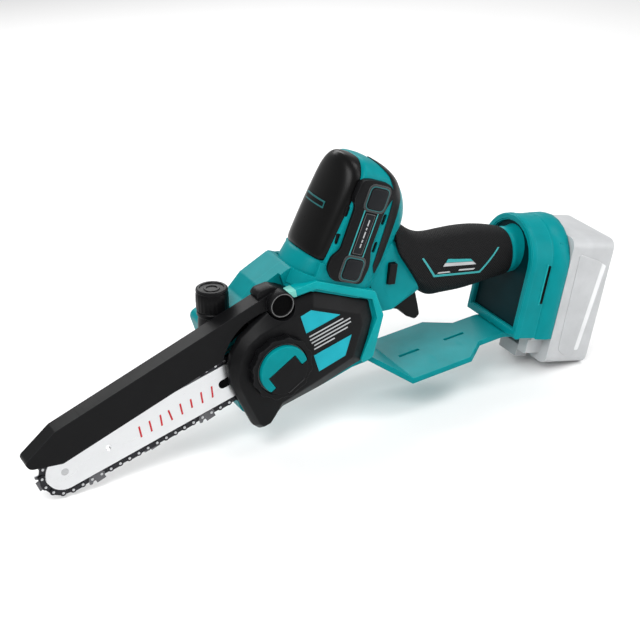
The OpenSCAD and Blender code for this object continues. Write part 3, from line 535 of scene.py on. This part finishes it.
# Every piece of the CAD gets its finish by its material slot, or by its own name
slotPaint = {
    "bar_steel": "barSteel", "chain_steel": "chainSteel", "bright_steel": "steel", "teal_plastic": "teal",
    "black_plastic": "black", "smoke_plastic": "smoke", "pad_plastic": "pad", "badge_cyan": "cyan",
    "grip_rubber": "rubber", "seal_rubber": "seal", "tank_plastic": "tank", "gear_metal": "alloy",
    "motor_steel": "iron", "motor_copper": "copper", "board_green": "board", "battery_plastic": "ghost",
    "button_grey": "ghostDark", "cell_steel": "steel", "contact_brass": "brass",
}
ownPaint = {"chain_cutters": "cutterSteel", "chain_rivets": "steel"}
slotOf = {part["node"]: part["material_slot"] for part in frame["record"]["subparts"]}
bodyOf = {part: body for body, parts in frame["record"]["behaviour"]["bodies"].items() for part in parts}
for part, slot in slotOf.items():
    nodes[part].data.materials.clear()
    nodes[part].data.materials.append(paints[ownPaint.get(part, slotPaint[slot])])

softEdges = {     # width of the softened edge, in mm
    "housing_left": 0.9, "housing_right": 0.9, "upper_guard": 0.8, "hand_guard": 0.9, "battery_mount": 0.9,
    "battery_case": 1.4, "battery_button": 0.8, "clamp_knob": 0.6, "knob_bow": 0.9, "knob_flap": 0.7,
    "tension_ring": 1.0, "trigger": 1.0, "lock_button": 0.8,
}
softened = {}
for source, width in softEdges.items():
    piece = softCopy("soft_" + source, source, width)
    slot = slotOf[source]
    softened[source] = dress(piece, paints[slotPaint[slot]], slot, bodyOf[source], source)
print("softened shells made:", len(softened))

# Motor head, front cap and trim. Motor frame: x rearwards, y across, z along the shaft.
motorHead = {
    "levels": [   # height, front, rear of the near face, rear in the middle, half width
        (34, -25, 20, 40, 29.4), (38, -25, 21, 44, 30.2), (60, -24, 22.6, 50, 30.4),
        (90, -20.6, 22.4, 54, 30.4),
        (104, -18.8, 22, 54, 30.4), (117, -16.6, 21, 48, 30.2), (127, -15.2, 19, 40, 29.2),
        (135, -14.2, 15, 29, 27), (140, -13.6, 8, 18, 23), (143, -12.6, 0, 6, 16.5),
        (143.6, -11.6, -4, 0, 10)],
    "vents": [(-18.2, 102.8), (-18.4, 79.7), (17.0, 103.0), (17.6, 79.5)],     # across, height
    "ventSize": (3.4, 9.2),
}


def headRing(level):
    height, front, rear, middle, half = level
    step = middle - rear
    near = [(front, -half + 2.6), (front + 2.2, -half), (-8, -half), (rear - 3, -half),
            (rear + 1.6, -half + 1.2), (rear + 0.52 * step, -0.70 * half),
            (middle - 0.1 * step, -0.30 * half)]
    ring = near + [(middle, 0)] + [(x, -y) for x, y in reversed(near)]
    return [(x, y, height) for x, y in ring]


for side in ("housing_left", "housing_right"):     # the shells make room for the head
    combine(softened[side], box("headRoom", -60, 70, -40, 40, 119, 165, motor), "DIFFERENCE")
    combine(softened[side], box("headRoomLow", -60, 30, -40, 40, 58, 120, motor), "DIFFERENCE")
print("shells opened for the motor head")

head = loft("motorHead", [headRing(level) for level in motorHead["levels"]], motor)
frontCap = {
    "levels": [   # height, plane of the joint, depth in front of it, half width
        (57.5, -23.6, 9.2, 26.2), (60.5, -24.2, 10.8, 27.4), (66, -23.8, 11.4, 28.0), (95, -21.0, 11.6, 28.0),
        (116, -18.4, 11.8, 27.8), (126, -17.0, 12.6, 26.6), (132.5, -16.2, 13.0, 24.0),
        (138, -15.8, 12.6, 19.4), (141.6, -16.2, 10.6, 13.6), (143.2, -16.8, 7.6, 7.0)],
    "back": 9,
    "slot": {"joint": -20.3, "depth": 11.7, "half": 28, "low": 97.6, "high": 103.4},
}


def capRing(level):
    height, joint, depth, half = level
    turns = [math.radians(angle) for angle in range(-90, 91, 15)]
    front = [(joint - depth * math.cos(turn), half * math.sin(turn)) for turn in turns]
    back = [(joint + frontCap["back"], side * half) for side in (1, 0, -1)]
    return [(x, y, height) for x, y in front + back]


cap = loft("motorFrontCap", [capRing(level) for level in frontCap["levels"]], motor)
collarShape = [   # height, then one side's corners and the front point
    (40, [(0, 29.4), (-26, 29), (-37, 20), (-41, 8)], 10, -41.6),
    (46.5, [(0, 29.8), (-26, 29.4), (-36, 20), (-40, 8)], 10, -40.6),
    (59, [(0, 29), (-26, 28.6), (-33.4, 19), (-36.8, 8)], 10, -37.4),
    (60.4, [(0, 27), (-26, 26), (-32, 17), (-35, 7)], 8, -35.6),
]


def collarRing(level):
    height, side, rear, front = level
    near = [(x, -y) for x, y in reversed(side)]
    return [(x, y, height) for x, y in near + [(rear, 0)] + side + [(front, 0)]]


collar = loft("motorCollar", [collarRing(level) for level in collarShape], motor)
for index, middle in enumerate(motorHead["vents"]):
    wide, high = motorHead["ventSize"]
    combine(head, cutOut("ventTool", panel(middle, wide, high), -34, -27.4, motor, 1.4, 0), "DIFFERENCE")
    outline = panel(middle, wide - 0.4, high - 0.4)
    insert = cutOut("headVent%d" % index, outline, -28.6, -26.8, motor, 1.2, 0.2)
    dress(insert, paints["smoke"], "black_plastic", "saw_body")
smooth(head)
dress(head, paints["teal"], "teal_plastic", "saw_body")
dress(cap, paints["capBlack"], "smoke_plastic", "saw_body", "motor_cover")
dress(collar, paints["teal"], "teal_plastic", "saw_body")

rearStripe = {
    "outline": [(2, 150), (11, 149), (22, 141), (31, 121), (31.4, 70), (28.4, 57), (22.6, 63.5), (19.6, 118),
                (17.4, 128), (11.5, 137), (4, 142.4)],
    "lift": 0.7, "near": -36, "far": 2, "corner": 1.0,
}
stripe = inlaid("rearStripe", head, rearStripe["lift"], rearStripe["outline"], rearStripe["near"],
                rearStripe["far"], motor, rearStripe["corner"])
dress(stripe, paints["black"], "black_plastic", "saw_body", "rear_trim")

motorInlay = {
    "outline": [(-16.6, 129.8), (-9.0, 132.4), (10.2, 132.2), (17.2, 124.6), (12.9, 110.5), (12.5, 78.0),
                (17.2, 63.8), (15.2, 48.0), (-12.6, 46.6), (-20.8, 55.0), (-19.8, 66.6), (-14.4, 71.4),
                (-14.6, 108.6), (-18.0, 113.6)],
    "near": -33.2, "far": -27.5, "corner": 3.6, "edge": 1.1,
    "pads": {"upper": ((2.0, 118.6), 21.5, 23.0), "lower": ((1.8, 59.0), 21.5, 22.5)},     # middle and size
    "strip": ((1.0, 88.8), 14.0, 39.0),
    "dashes": [(77.5, 3.4), (82.0, 2.4), (85.6, 5.6), (92.4, 2.2), (95.8, 5.2)],     # start, length
}
inlay = cutOut("motorInlay", motorInlay["outline"], motorInlay["near"], motorInlay["far"], motor,
               motorInlay["corner"], motorInlay["edge"])
dress(inlay, paints["black"], "black_plastic", "saw_body", "side_inlay")


def plate(name, outline, near, far, paint, corner, edge, *stoodFor):     # a small plate on the inlay
    piece = cutOut(name, outline, near, far, motor, corner, edge)
    return dress(piece, paints[paint], "pad_plastic", "saw_body", *stoodFor)


for tag, (middle, wide, high) in motorInlay["pads"].items():
    plate(tag + "PadRing", panel(middle, wide, high), -33.9, -32.0, "padRing", 5.2, 0.6)
    line = cutOut(tag + "PadLine", panel(middle, wide - 3.2, high - 3.4), -34.1, -33.0, motor, 4.0, 0.12)
    dress(line, paints["tealDull"], "teal_plastic", "saw_body")
    plate(tag + "PadWell", panel(middle, wide - 4.6, high - 4.8), -34.25, -33.0, "smoke", 3.6, 0.12)
    stoodFor = ["inlay_pads"] if tag == "upper" else []
    plate(tag + "Pad", panel(middle, wide - 6.0, high - 6.4), -35.4, -33.0, "pad", 3.0, 0.9, *stoodFor)
middle, wide, high = motorInlay["strip"]
stripLayers = [(0, 0.25, "tealLine"), (2.0, 0.4, "smoke"), (5.2, 0.55, "greyTrimAndHighlight"), (5.9, 0.7, "pad")]
for index, (trim, lift, paint) in enumerate(stripLayers):
    outline = panel(middle, wide - trim, high - trim)
    plate("strip%d" % index, outline, motorInlay["near"] - lift, -33.0, paint, 0.5, 0.08)
for index, (start, length) in enumerate(motorInlay["dashes"]):
    outline = panel((middle[0] + 0.4, start + length / 2), 1.0, length)
    plate("stripDash%d" % index, outline, -34.1, -33.5, "silver", 0.3, 0.05)


def capBand(name, lift, trim, start, end, paint, slot):     # a band round the cap, between two angles
    shape = frontCap["slot"]
    low, high = shape["low"] + trim, shape["high"] - trim
    rings = []
    for step in range(13):
        turn = math.radians(start + (end - start) * step / 12)
        ring = []
        for reach, height in ((-1.5, low), (lift, low), (lift, high), (-1.5, high)):
            ring.append((shape["joint"] - (shape["depth"] + reach) * math.cos(turn),
                         (shape["half"] + reach) * math.sin(turn), height))
        rings.append(ring)
    return dress(loft(name, rings, motor, 0), paints[paint], slot, "saw_body")


capBand("capSlotRim", 0.35, 0, -29, 33, "tealDull", "teal_plastic")
capBand("capSlotFace", 0.6, 1.2, -26.5, 30.5, "smoke", "black_plastic")
print("motor head, cap and trim made")

# Drive cover, guard boss with its painted shadow and painted highlight, and a painted highlight on the knob rim,
# in the bar frame
badgeNear = (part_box("cover_badges")[0].y - barPlane) * 1000
driveCover = {
    "face": badgeNear + 0.35, "rim": -4.2, "wall": -9.5, "edge": 1.1,
    "outer": [(-7, 39.6), (-20, 34.8), (-31, 25.8), (-37.8, 13.8), (-40.2, 0), (-39.6, -8), (-35, -44),
              (-31, -50), (-21, -50), (-14.5, -46), (-6, -42.4), (30, -43.4), (71.5, -40.6), (91, -9),
              (92, 8), (71, 24.6), (50, 41), (24, 45), (8, 43.8)],
    "inner": [(-6, 33), (-17.6, 29.4), (-27, 21.6), (-33, 11.4), (-35.2, 0), (-34.8, -8), (-30.8, -42),
              (-28.6, -45.6), (-22.6, -45.6), (-17, -41.6), (-7.6, -33.6), (26, -31.8), (61, -28.4), (78, -5),
              (78.6, 5.4), (60, 19.4), (42.4, 33), (24, 33.6), (8, 33.4)],
    "bars": [(31.5, 63.5, 9.9), (31.0, 69.5, 6.7), (31.5, 69.0, 3.5), (33.0, 65.0, 0.3), (32.0, 51.5, -2.9)],
    "barHeight": 1.1,     # each bar is a start, an end and a height
}
coverRings = [[(x, driveCover[depth], z) for x, z in driveCover[shape]]
              for shape, depth in (("outer", "rim"), ("outer", "wall"), ("inner", "face"))]
cover = loft("driveCover", coverRings, saw, 0)
rounded(cover, driveCover["edge"], 3, 18)

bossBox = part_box("guard_pin")
bossPlace = saw.inverted() @ ((bossBox[0] + bossBox[1]) / 2)
outward = saw @ Matrix.Rotation(math.radians(90), 4, "X")      # its z points to the near side
bossAxis = outward @ offset(bossPlace.x * 1000, bossPlace.z * 1000, 0)
guardBoss = {     # radius and height of each corner
    "room": [(12.4, -10), (12.4, 40)],
    "cap": [(8.4, 5), (11.0, 5), (11.0, 13.0), (10.5, 14.0), (9.8, 14.4), (9.0, 14.2), (8.6, 13.6),
            (8.3, 12.6)],
    "well": [(8.6, 9.0), (8.6, 13.4), (8.0, 13.5), (7.7, 12.8), (7.2, 12.7)],
    "lip": (9.5, 0.42, 14.2),     # radius, thickness, height
    "tab": [(5, 46), (5, 59), (9, 61.5), (20, 60), (31.5, 50.5), (26, 44)],
}
combine(cover, turned("bossRoom", guardBoss["room"], bossAxis), "DIFFERENCE")
smooth(cover, 24)
dress(cover, paints["black"], "black_plastic", "saw_body", "side_cover")
dress(turned("guardBossCap", guardBoss["cap"], bossAxis), paints["black"], "black_plastic", "guard")
# the well's floor is painted shadow, so the shallow well reads as a deep hole
dress(turned("guardBossWell", guardBoss["well"], bossAxis), paints["shadow"], "black_plastic", "guard")
# a grey bead on the rim of the boss cap: painted highlight
lipRadius, lipThick, lipHeight = guardBoss["lip"]
lip = bead("guardBossLipHighlight", lipRadius, lipThick, bossAxis @ offset(0, 0, lipHeight))
dress(lip, paints["greyTrimAndHighlight"], "black_plastic", "guard")
dress(cutOut("hingeTab", guardBoss["tab"], -5.2, 7.5, saw, 1.2, 0.9), paints["black"], "black_plastic",
      "saw_body")

coverTrim = {
    "band": [(29.6, 48), (29.0, 53.2), (53.5, 50), (98.5, 14.5), (99.6, -9.5), (80, -41), (70, -42),
             (69.6, -37.6), (93.4, -9.6), (94.4, 9), (51.4, 43.8)],
    "end": [(29.4, 48.6), (28.2, 53.4), (34.6, 52.8), (33.8, 46.2)],
}
# the rim band round the cover is painted a brighter teal: painted highlight on its chamfer
dress(cutOut("coverRim", coverTrim["band"], -13.2, -3.2, saw, 0.8, 1.6), paints["tealPaintedHighlight"], "teal_plastic",
      "saw_body")
# its end is painted pale mint: painted highlight
dress(cutOut("coverRimEnd", coverTrim["end"], -13.5, -3.4, saw, 0.6, 0.9), paints["tealEndHighlight"], "teal_plastic",
      "saw_body")
for index, (start, end, height) in enumerate(driveCover["bars"]):
    outline = panel(((start + end) / 2, height), end - start, driveCover["barHeight"])
    near, far = driveCover["face"] - 0.25, driveCover["face"] + 0.5
    line = cutOut("coverBar%d" % index, outline, near, far, saw, 0.3, 0.05)
    dress(line, paints["silver"], "badge_cyan", "saw_body")

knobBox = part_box("clamp_knob")
knobNear = (knobBox[0].y - barPlane) * 1000
knobReach = (knobBox[1].x - knobBox[0].x) * 500
# a thin grey ring round the knob's edge: painted highlight on its bevel
rim = bead("knobRimHighlight", knobReach - 0.45, 0.42, outward @ offset(0, 0, -knobNear - 0.05))
dress(rim, paints["greyTrimAndHighlight"], "black_plastic", "knob")
print("cover, boss and knob rim made")

# Bar mark, and a painted shadow for the slot end
barNear = (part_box("guide_bar")[0].y - barPlane) * 1000
barMark = {
    "start": -121.0, "height": -1.5, "pitch": 9.2, "stroke": 1.5,
    "strokes": [(10, 5), (10, 5), (10, 6), (10, 2.6), (10, 5), (8, 5), (10, 6), (10, 7)],     # rise, spread
    "slotEnd": ((-41, 0), 14, 7.6),
}
for index, (rise, spread) in enumerate(barMark["strokes"]):
    foot = barMark["start"] + index * barMark["pitch"]
    top = foot + spread * 0.55
    low, high = barMark["height"] - rise / 2, barMark["height"] + rise / 2
    outline = [(foot, low), (foot + barMark["stroke"], low), (top, high), (top - barMark["stroke"], high)]
    stroke = cutOut("barMark%d" % index, outline, barNear - 0.12, barNear + 0.3, saw, 0, 0.03)
    dress(stroke, paints["red"], "bar_steel", "bar")
# a flush near-black decal on the bar: painted shadow for the open end of the slot
slotEnd = cutOut("barSlotEnd", panel(*barMark["slotEnd"]), barNear - 0.06, barNear + 0.3, saw, 3.7, 0.02, 6)
dress(slotEnd, paints["shadow"], "bar_steel", "bar")

# Oil filler cap and its neck, along the axis that the cap lifts on
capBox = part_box("oil_cap")
capAxis = Vector(joints["cap_lift"]["axis"]).normalized()
capTurn = Vector((0, 0, 1)).rotation_difference(capAxis).to_matrix().to_4x4()
capPlace = Matrix.Translation((capBox[0] + capBox[1]) / 2) @ capTurn
filler = {     # radius and height of each corner
    "cap": [(10.6, -11), (12.5, -11), (12.9, -10.2), (12.7, -7.8), (12.1, -7.1), (12.3, -6.4), (13.1, -5.8),
            (13.2, 2.0), (13.0, 7.4), (12.4, 8.2), (12.3, 9.2), (12.9, 9.8), (12.6, 11.2), (11.6, 11.9),
            (9.9, 11.9), (9.4, 11.0), (6.6, 10.7), (6.2, 11.4), (4.6, 11.4), (4.2, 10.6)],
    "ribbed": (6, 7, 8), "rib": 0.22,
    "neck": [(9.0, -30), (12.6, -30), (12.2, -16), (11.6, -11.6), (9.0, -11.6)],
}
fillerCap = turned("fillerCap", filler["cap"], capPlace, 96, filler["rib"], filler["ribbed"])
dress(fillerCap, paints["smoke"], "black_plastic", "cap", "oil_cap")
dress(turned("fillerNeck", filler["neck"], capPlace), paints["black"], "black_plastic", "saw_body")
print("bar mark and filler cap made")

# Grip sleeve with its edge lines, in the grip's own frame
gripShape = {
    "start": (153, 19, -5), "drop": 19.5,
    "rings": [   # x at the top, x at the bottom, top, bottom, half width
        (-31, -6, 53, -17.5, 23.0), (-28, -3, 51, -19, 23.6), (-18, 1, 42.6, -21, 23.0),
        (-8, 5, 33.4, -24, 22.0),
        (5, 10, 28.8, -26.4, 21.4), (22, 22, 29.8, -25.6, 21.2), (38, 38, 30.4, -26.2, 21.4),
        (55, 55, 29.2, -24.0, 21.0), (69, 69, 26.6, -21.8, 20.4), (80, 80, 23.6, -20.6, 20.0),
        (85.5, 85, 21.8, -20.0, 19.6), (87, 86.5, 20.4, -18.6, 18.4)],
    "drawnBack": (13, 11, 5),     # how far the middle of each front ring is drawn back to a point
    "sides": 28,
    "collar": [(70, 15, -13, 13), (85.6, 20.4, -18.6, 18.2), (88, 21.6, -19.8, 19.4), (90, 21.4, -19.6, 19.2),
               (94, 20.4, -18.8, 18.4), (102, 22.4, -20.4, 20.0), (112, 27, -24, 24)],
}
gripPlace = saw @ offset(*gripShape["start"]) @ Matrix.Rotation(math.radians(gripShape["drop"]), 4, "Y")


def gripRing(station, index):
    topX, lowX, top, low, half = station
    ring = []
    for step in range(gripShape["sides"]):
        turn = math.tau * step / gripShape["sides"]
        lean, rise = math.cos(turn), math.sin(turn)
        sideways = half * math.copysign(abs(lean) ** 0.86, lean)
        height = (top + low) / 2 + (top - low) / 2 * math.copysign(abs(rise) ** 0.92, rise)
        share = (height - low) / (top - low)
        along = lowX + (topX - lowX) * share
        if index < len(gripShape["drawnBack"]):
            along -= gripShape["drawnBack"][index] * max(0.0, 1 - abs(share - 0.66) / 0.5)
        ring.append((along, sideways, height))
    return ring


def ovalRing(along, top, low, half):
    turns = [math.tau * step / gripShape["sides"] for step in range(gripShape["sides"])]
    centre, rise = (top + low) / 2, (top - low) / 2
    return [(along, half * math.cos(turn), centre + rise * math.sin(turn)) for turn in turns]


sleeveRings = [gripRing(station, index) for index, station in enumerate(gripShape["rings"])]
sleeve = loft("gripSleeve", sleeveRings, gripPlace)
dress(sleeve, paints["grip"], "grip_rubber", "saw_body", "grip_sleeve")
gripLines = {     # outline, lift above the sleeve, finish
    "edge": ([(-8.2, 16.4), (-6.2, 16.4), (5.6, -0.6), (50.8, -5.0), (69.0, 13.0), (70.6, 13.0), (51.6, -6.8),
              (4.6, -2.4)], 0.35, "tealLine"),
    "inner": ([(9, 1.2), (20, 0.2), (21, -0.9), (8, 0.1)], 0.35, "silver"),
    "dash": ([(30, 0.4), (46, -1.2), (44, -2.4), (29, -0.8)], 0.35, "silver"),
    "upper": ([(18.4, 11.2), (40.6, 8.0), (43.2, 5.6), (16.2, 8.6)], 0.6, "tealLine"),
    "lower": ([(15.8, 8.2), (43.4, 5.2), (46.2, 2.4), (13.4, 5.6)], 0.6, "silver"),
}
for key, (outline, lift, paint) in gripLines.items():
    stoodFor = ["grip_accents"] if key == "edge" else []
    line = inlaid("gripLine" + key.capitalize(), sleeve, lift, outline, -30, -6, gripPlace, 0.25)
    dress(line, paints[paint], "teal_plastic", "saw_body", *stoodFor)
gripCollar = loft("gripCollar", [ovalRing(*ring) for ring in gripShape["collar"]], gripPlace, 1)
dress(gripCollar, paints["teal"], "teal_plastic", "saw_body")

# Foot with its bowl in painted shade, its rim, and its slot as painted shadow, in the rail frame. Each ring is a
# half width, top, bottom and place along.
footShape = {
    "room": [(31.5, 112.5, 25, 214), (31.5, 112.5, 25, 246)],
    "bowl": [(31.9, 112.9, 24.6, 231), (33.6, 114.6, 22.6, 231), (33.6, 114.6, 22.6, 246.5),
             (20, 96, 40, 246.5), (20, 96, 40, 242.6), (25, 104, 32, 242), (29.6, 110, 27, 239),
             (31.4, 112.4, 25, 234.5)],
    "rim": [(31.6, 112.6, 24.8, 233), (31.8, 112.8, 24.6, 228.6), (32.8, 113.8, 23.8, 227.2),
            (36.2, 117.2, 20.2, 227.2), (37.4, 118.4, 17.4, 229), (37.4, 118.4, 17.4, 233)],
    "band": [(34.4, 115.4, 20.4, 249.8), (37.0, 118.0, 17.6, 249.8), (37.9, 118.9, 17.0, 250.8),
             (38.7, 119.7, 17.0, 262), (38.2, 119.2, 17.4, 267.4), (37.2, 118.2, 18.4, 268.2),
             (34.4, 115.4, 20.4, 268.2)],
    "slot": ((247.5, 67.5), 2.6, 35), "slotEdge": ((245.25, 67.5), 1.3, 37),
    "archSteps": 13,
}


def archRing(half, top, low, along):
    centre = top - half
    turns = [math.pi * (1 - step / (footShape["archSteps"] - 1)) for step in range(footShape["archSteps"])]
    curve = [(half * math.cos(turn), centre + half * math.sin(turn)) for turn in turns]
    waist = (low + centre) / 2
    points = [(-half, low), (-half, waist)] + curve + [(half, waist), (half, low), (0, low)]
    return [(along, y, z) for y, z in points]


def arched(name, key, angle, hoop=False):
    return loft(name, [archRing(*ring) for ring in footShape[key]], rails, 0, angle, hoop)


for side in ("housing_left", "housing_right"):     # the shells make room for the bowl
    combine(softened[side], arched("footRoom", "room", 40), "DIFFERENCE")
    smooth(softened[side])
# the bowl is painted near-black teal: painted shade in the recess
dress(arched("footBowl", "bowl", 60), paints["tealPaintedShade"], "teal_plastic", "saw_body")
dress(arched("footRim", "rim", 50, True), paints["teal"], "teal_plastic", "saw_body")
dress(arched("mountBand", "band", 50, True), paints["teal"], "teal_plastic", "saw_body")
# the slot is a thin near-black panel: painted shadow
footSlot = cutOut("footSlot", panel(*footShape["slot"]), -37.35, -35.5, rails, 1.0, 0.1)
dress(footSlot, paints["shadow"], "black_plastic", "saw_body")
# a bright teal strip beside the slot: painted highlight on its edge
slotEdge = cutOut("footSlotEdge", panel(*footShape["slotEdge"]), -37.45, -35.5, rails, 0.4, 0.2)
dress(slotEdge, paints["tealPaintedHighlight"], "teal_plastic", "saw_body")

packTrim = {
    "pane": [(277, 96), (300, 90), (311, 82), (300, 6), (291, -1), (279, 6)],
    "band": [(303.6, 88), (308.4, 86), (300.8, 6), (296.4, 6)],
}
dress(cutOut("packPane", packTrim["pane"], -38.3, -36.5, rails, 3, 0.6), paints["ghost"], "battery_plastic",
      "battery")
dress(cutOut("packBand", packTrim["band"], -38.55, -37.5, rails, 1.2, 0.12), paints["white"],
      "battery_plastic", "battery")
print("grip, foot and pack details made")

studio = {
    "azimuth": -27.88, "elevation": 26.17, "roll": -0.8, "distance": 1.232, "lens": 85.0,
    "aim": (-0.009, -0.005, -0.022), "world": 0.46,
    "lamps": {     # place, size, power
        "keyLight": ((-0.9, -0.7, 1.3), (0.9, 0.9), 20), "sideLight": ((1.1, -0.9, 0.6), (0.5, 1.2), 7),
        "topLight": ((0.95, -0.3, 1.5), (0.6, 0.6), 8), "backLight": ((0.2, 1.2, 0.9), (1.4, 0.5), 12),
    },
}
middle = (cadLow + cadHigh) / 2


def addCamera():
    azimuth, elevation = math.radians(studio["azimuth"]), math.radians(studio["elevation"])
    back = Vector((math.sin(azimuth) * math.cos(elevation), -math.cos(azimuth) * math.cos(elevation),
                   math.sin(elevation)))
    only()
    bpy.ops.object.camera_add(location=middle + Vector(studio["aim"]) + back * studio["distance"])
    camera = bpy.context.object
    roll = Matrix.Rotation(math.radians(studio["roll"]), 3, "Z").to_quaternion()
    camera.rotation_mode = "QUATERNION"
    camera.rotation_quaternion = (-back).to_track_quat("-Z", "Y") @ roll
    camera.data.lens = studio["lens"]
    camera.data.clip_end = 50
    bpy.context.scene.camera = camera


def addLamp(name, place, size, power):
    only()
    bpy.ops.object.light_add(type="AREA", location=place)
    lamp = bpy.context.object
    lamp.name = name
    lamp.data.shape = "RECTANGLE"
    lamp.data.size, lamp.data.size_y = size
    lamp.data.energy = power
    lamp.rotation_mode = "QUATERNION"
    lamp.rotation_quaternion = (middle - Vector(place)).to_track_quat("-Z", "Y")


def addFloor():
    only()
    bpy.ops.mesh.primitive_plane_add(size=12, location=(0, 0, cadLow.z - 0.0004))
    floor = bpy.context.object
    floor.name = "studioFloor"
    material, tree, shader, vector = startMaterial("paleFloor")
    haze = put(tree, "ShaderNodeTexNoise", {"Vector": vector, "Scale": 3.0, "Detail": 2.0})
    tree.links.new(mixColour(tree, haze.outputs[0], (0.86, 0.86, 0.86, 1), (0.90, 0.90, 0.90, 1)),
                   shader.inputs["Base Color"])
    shader.inputs["Roughness"].default_value = 0.6
    floor.data.materials.append(material)


def addWorld():
    world = bpy.data.worlds.new("studio")
    world.use_nodes = True
    backdrop = world.node_tree.nodes["Background"]
    backdrop.inputs[0].default_value = (1, 1, 1, 1)
    backdrop.inputs[1].default_value = studio["world"]
    bpy.context.scene.world = world
    bpy.context.scene.view_settings.view_transform = "Standard"


addCamera()
addFloor()
addWorld()
for name, (place, size, power) in studio["lamps"].items():
    addLamp(name, place, size, power)
print("camera and studio made")
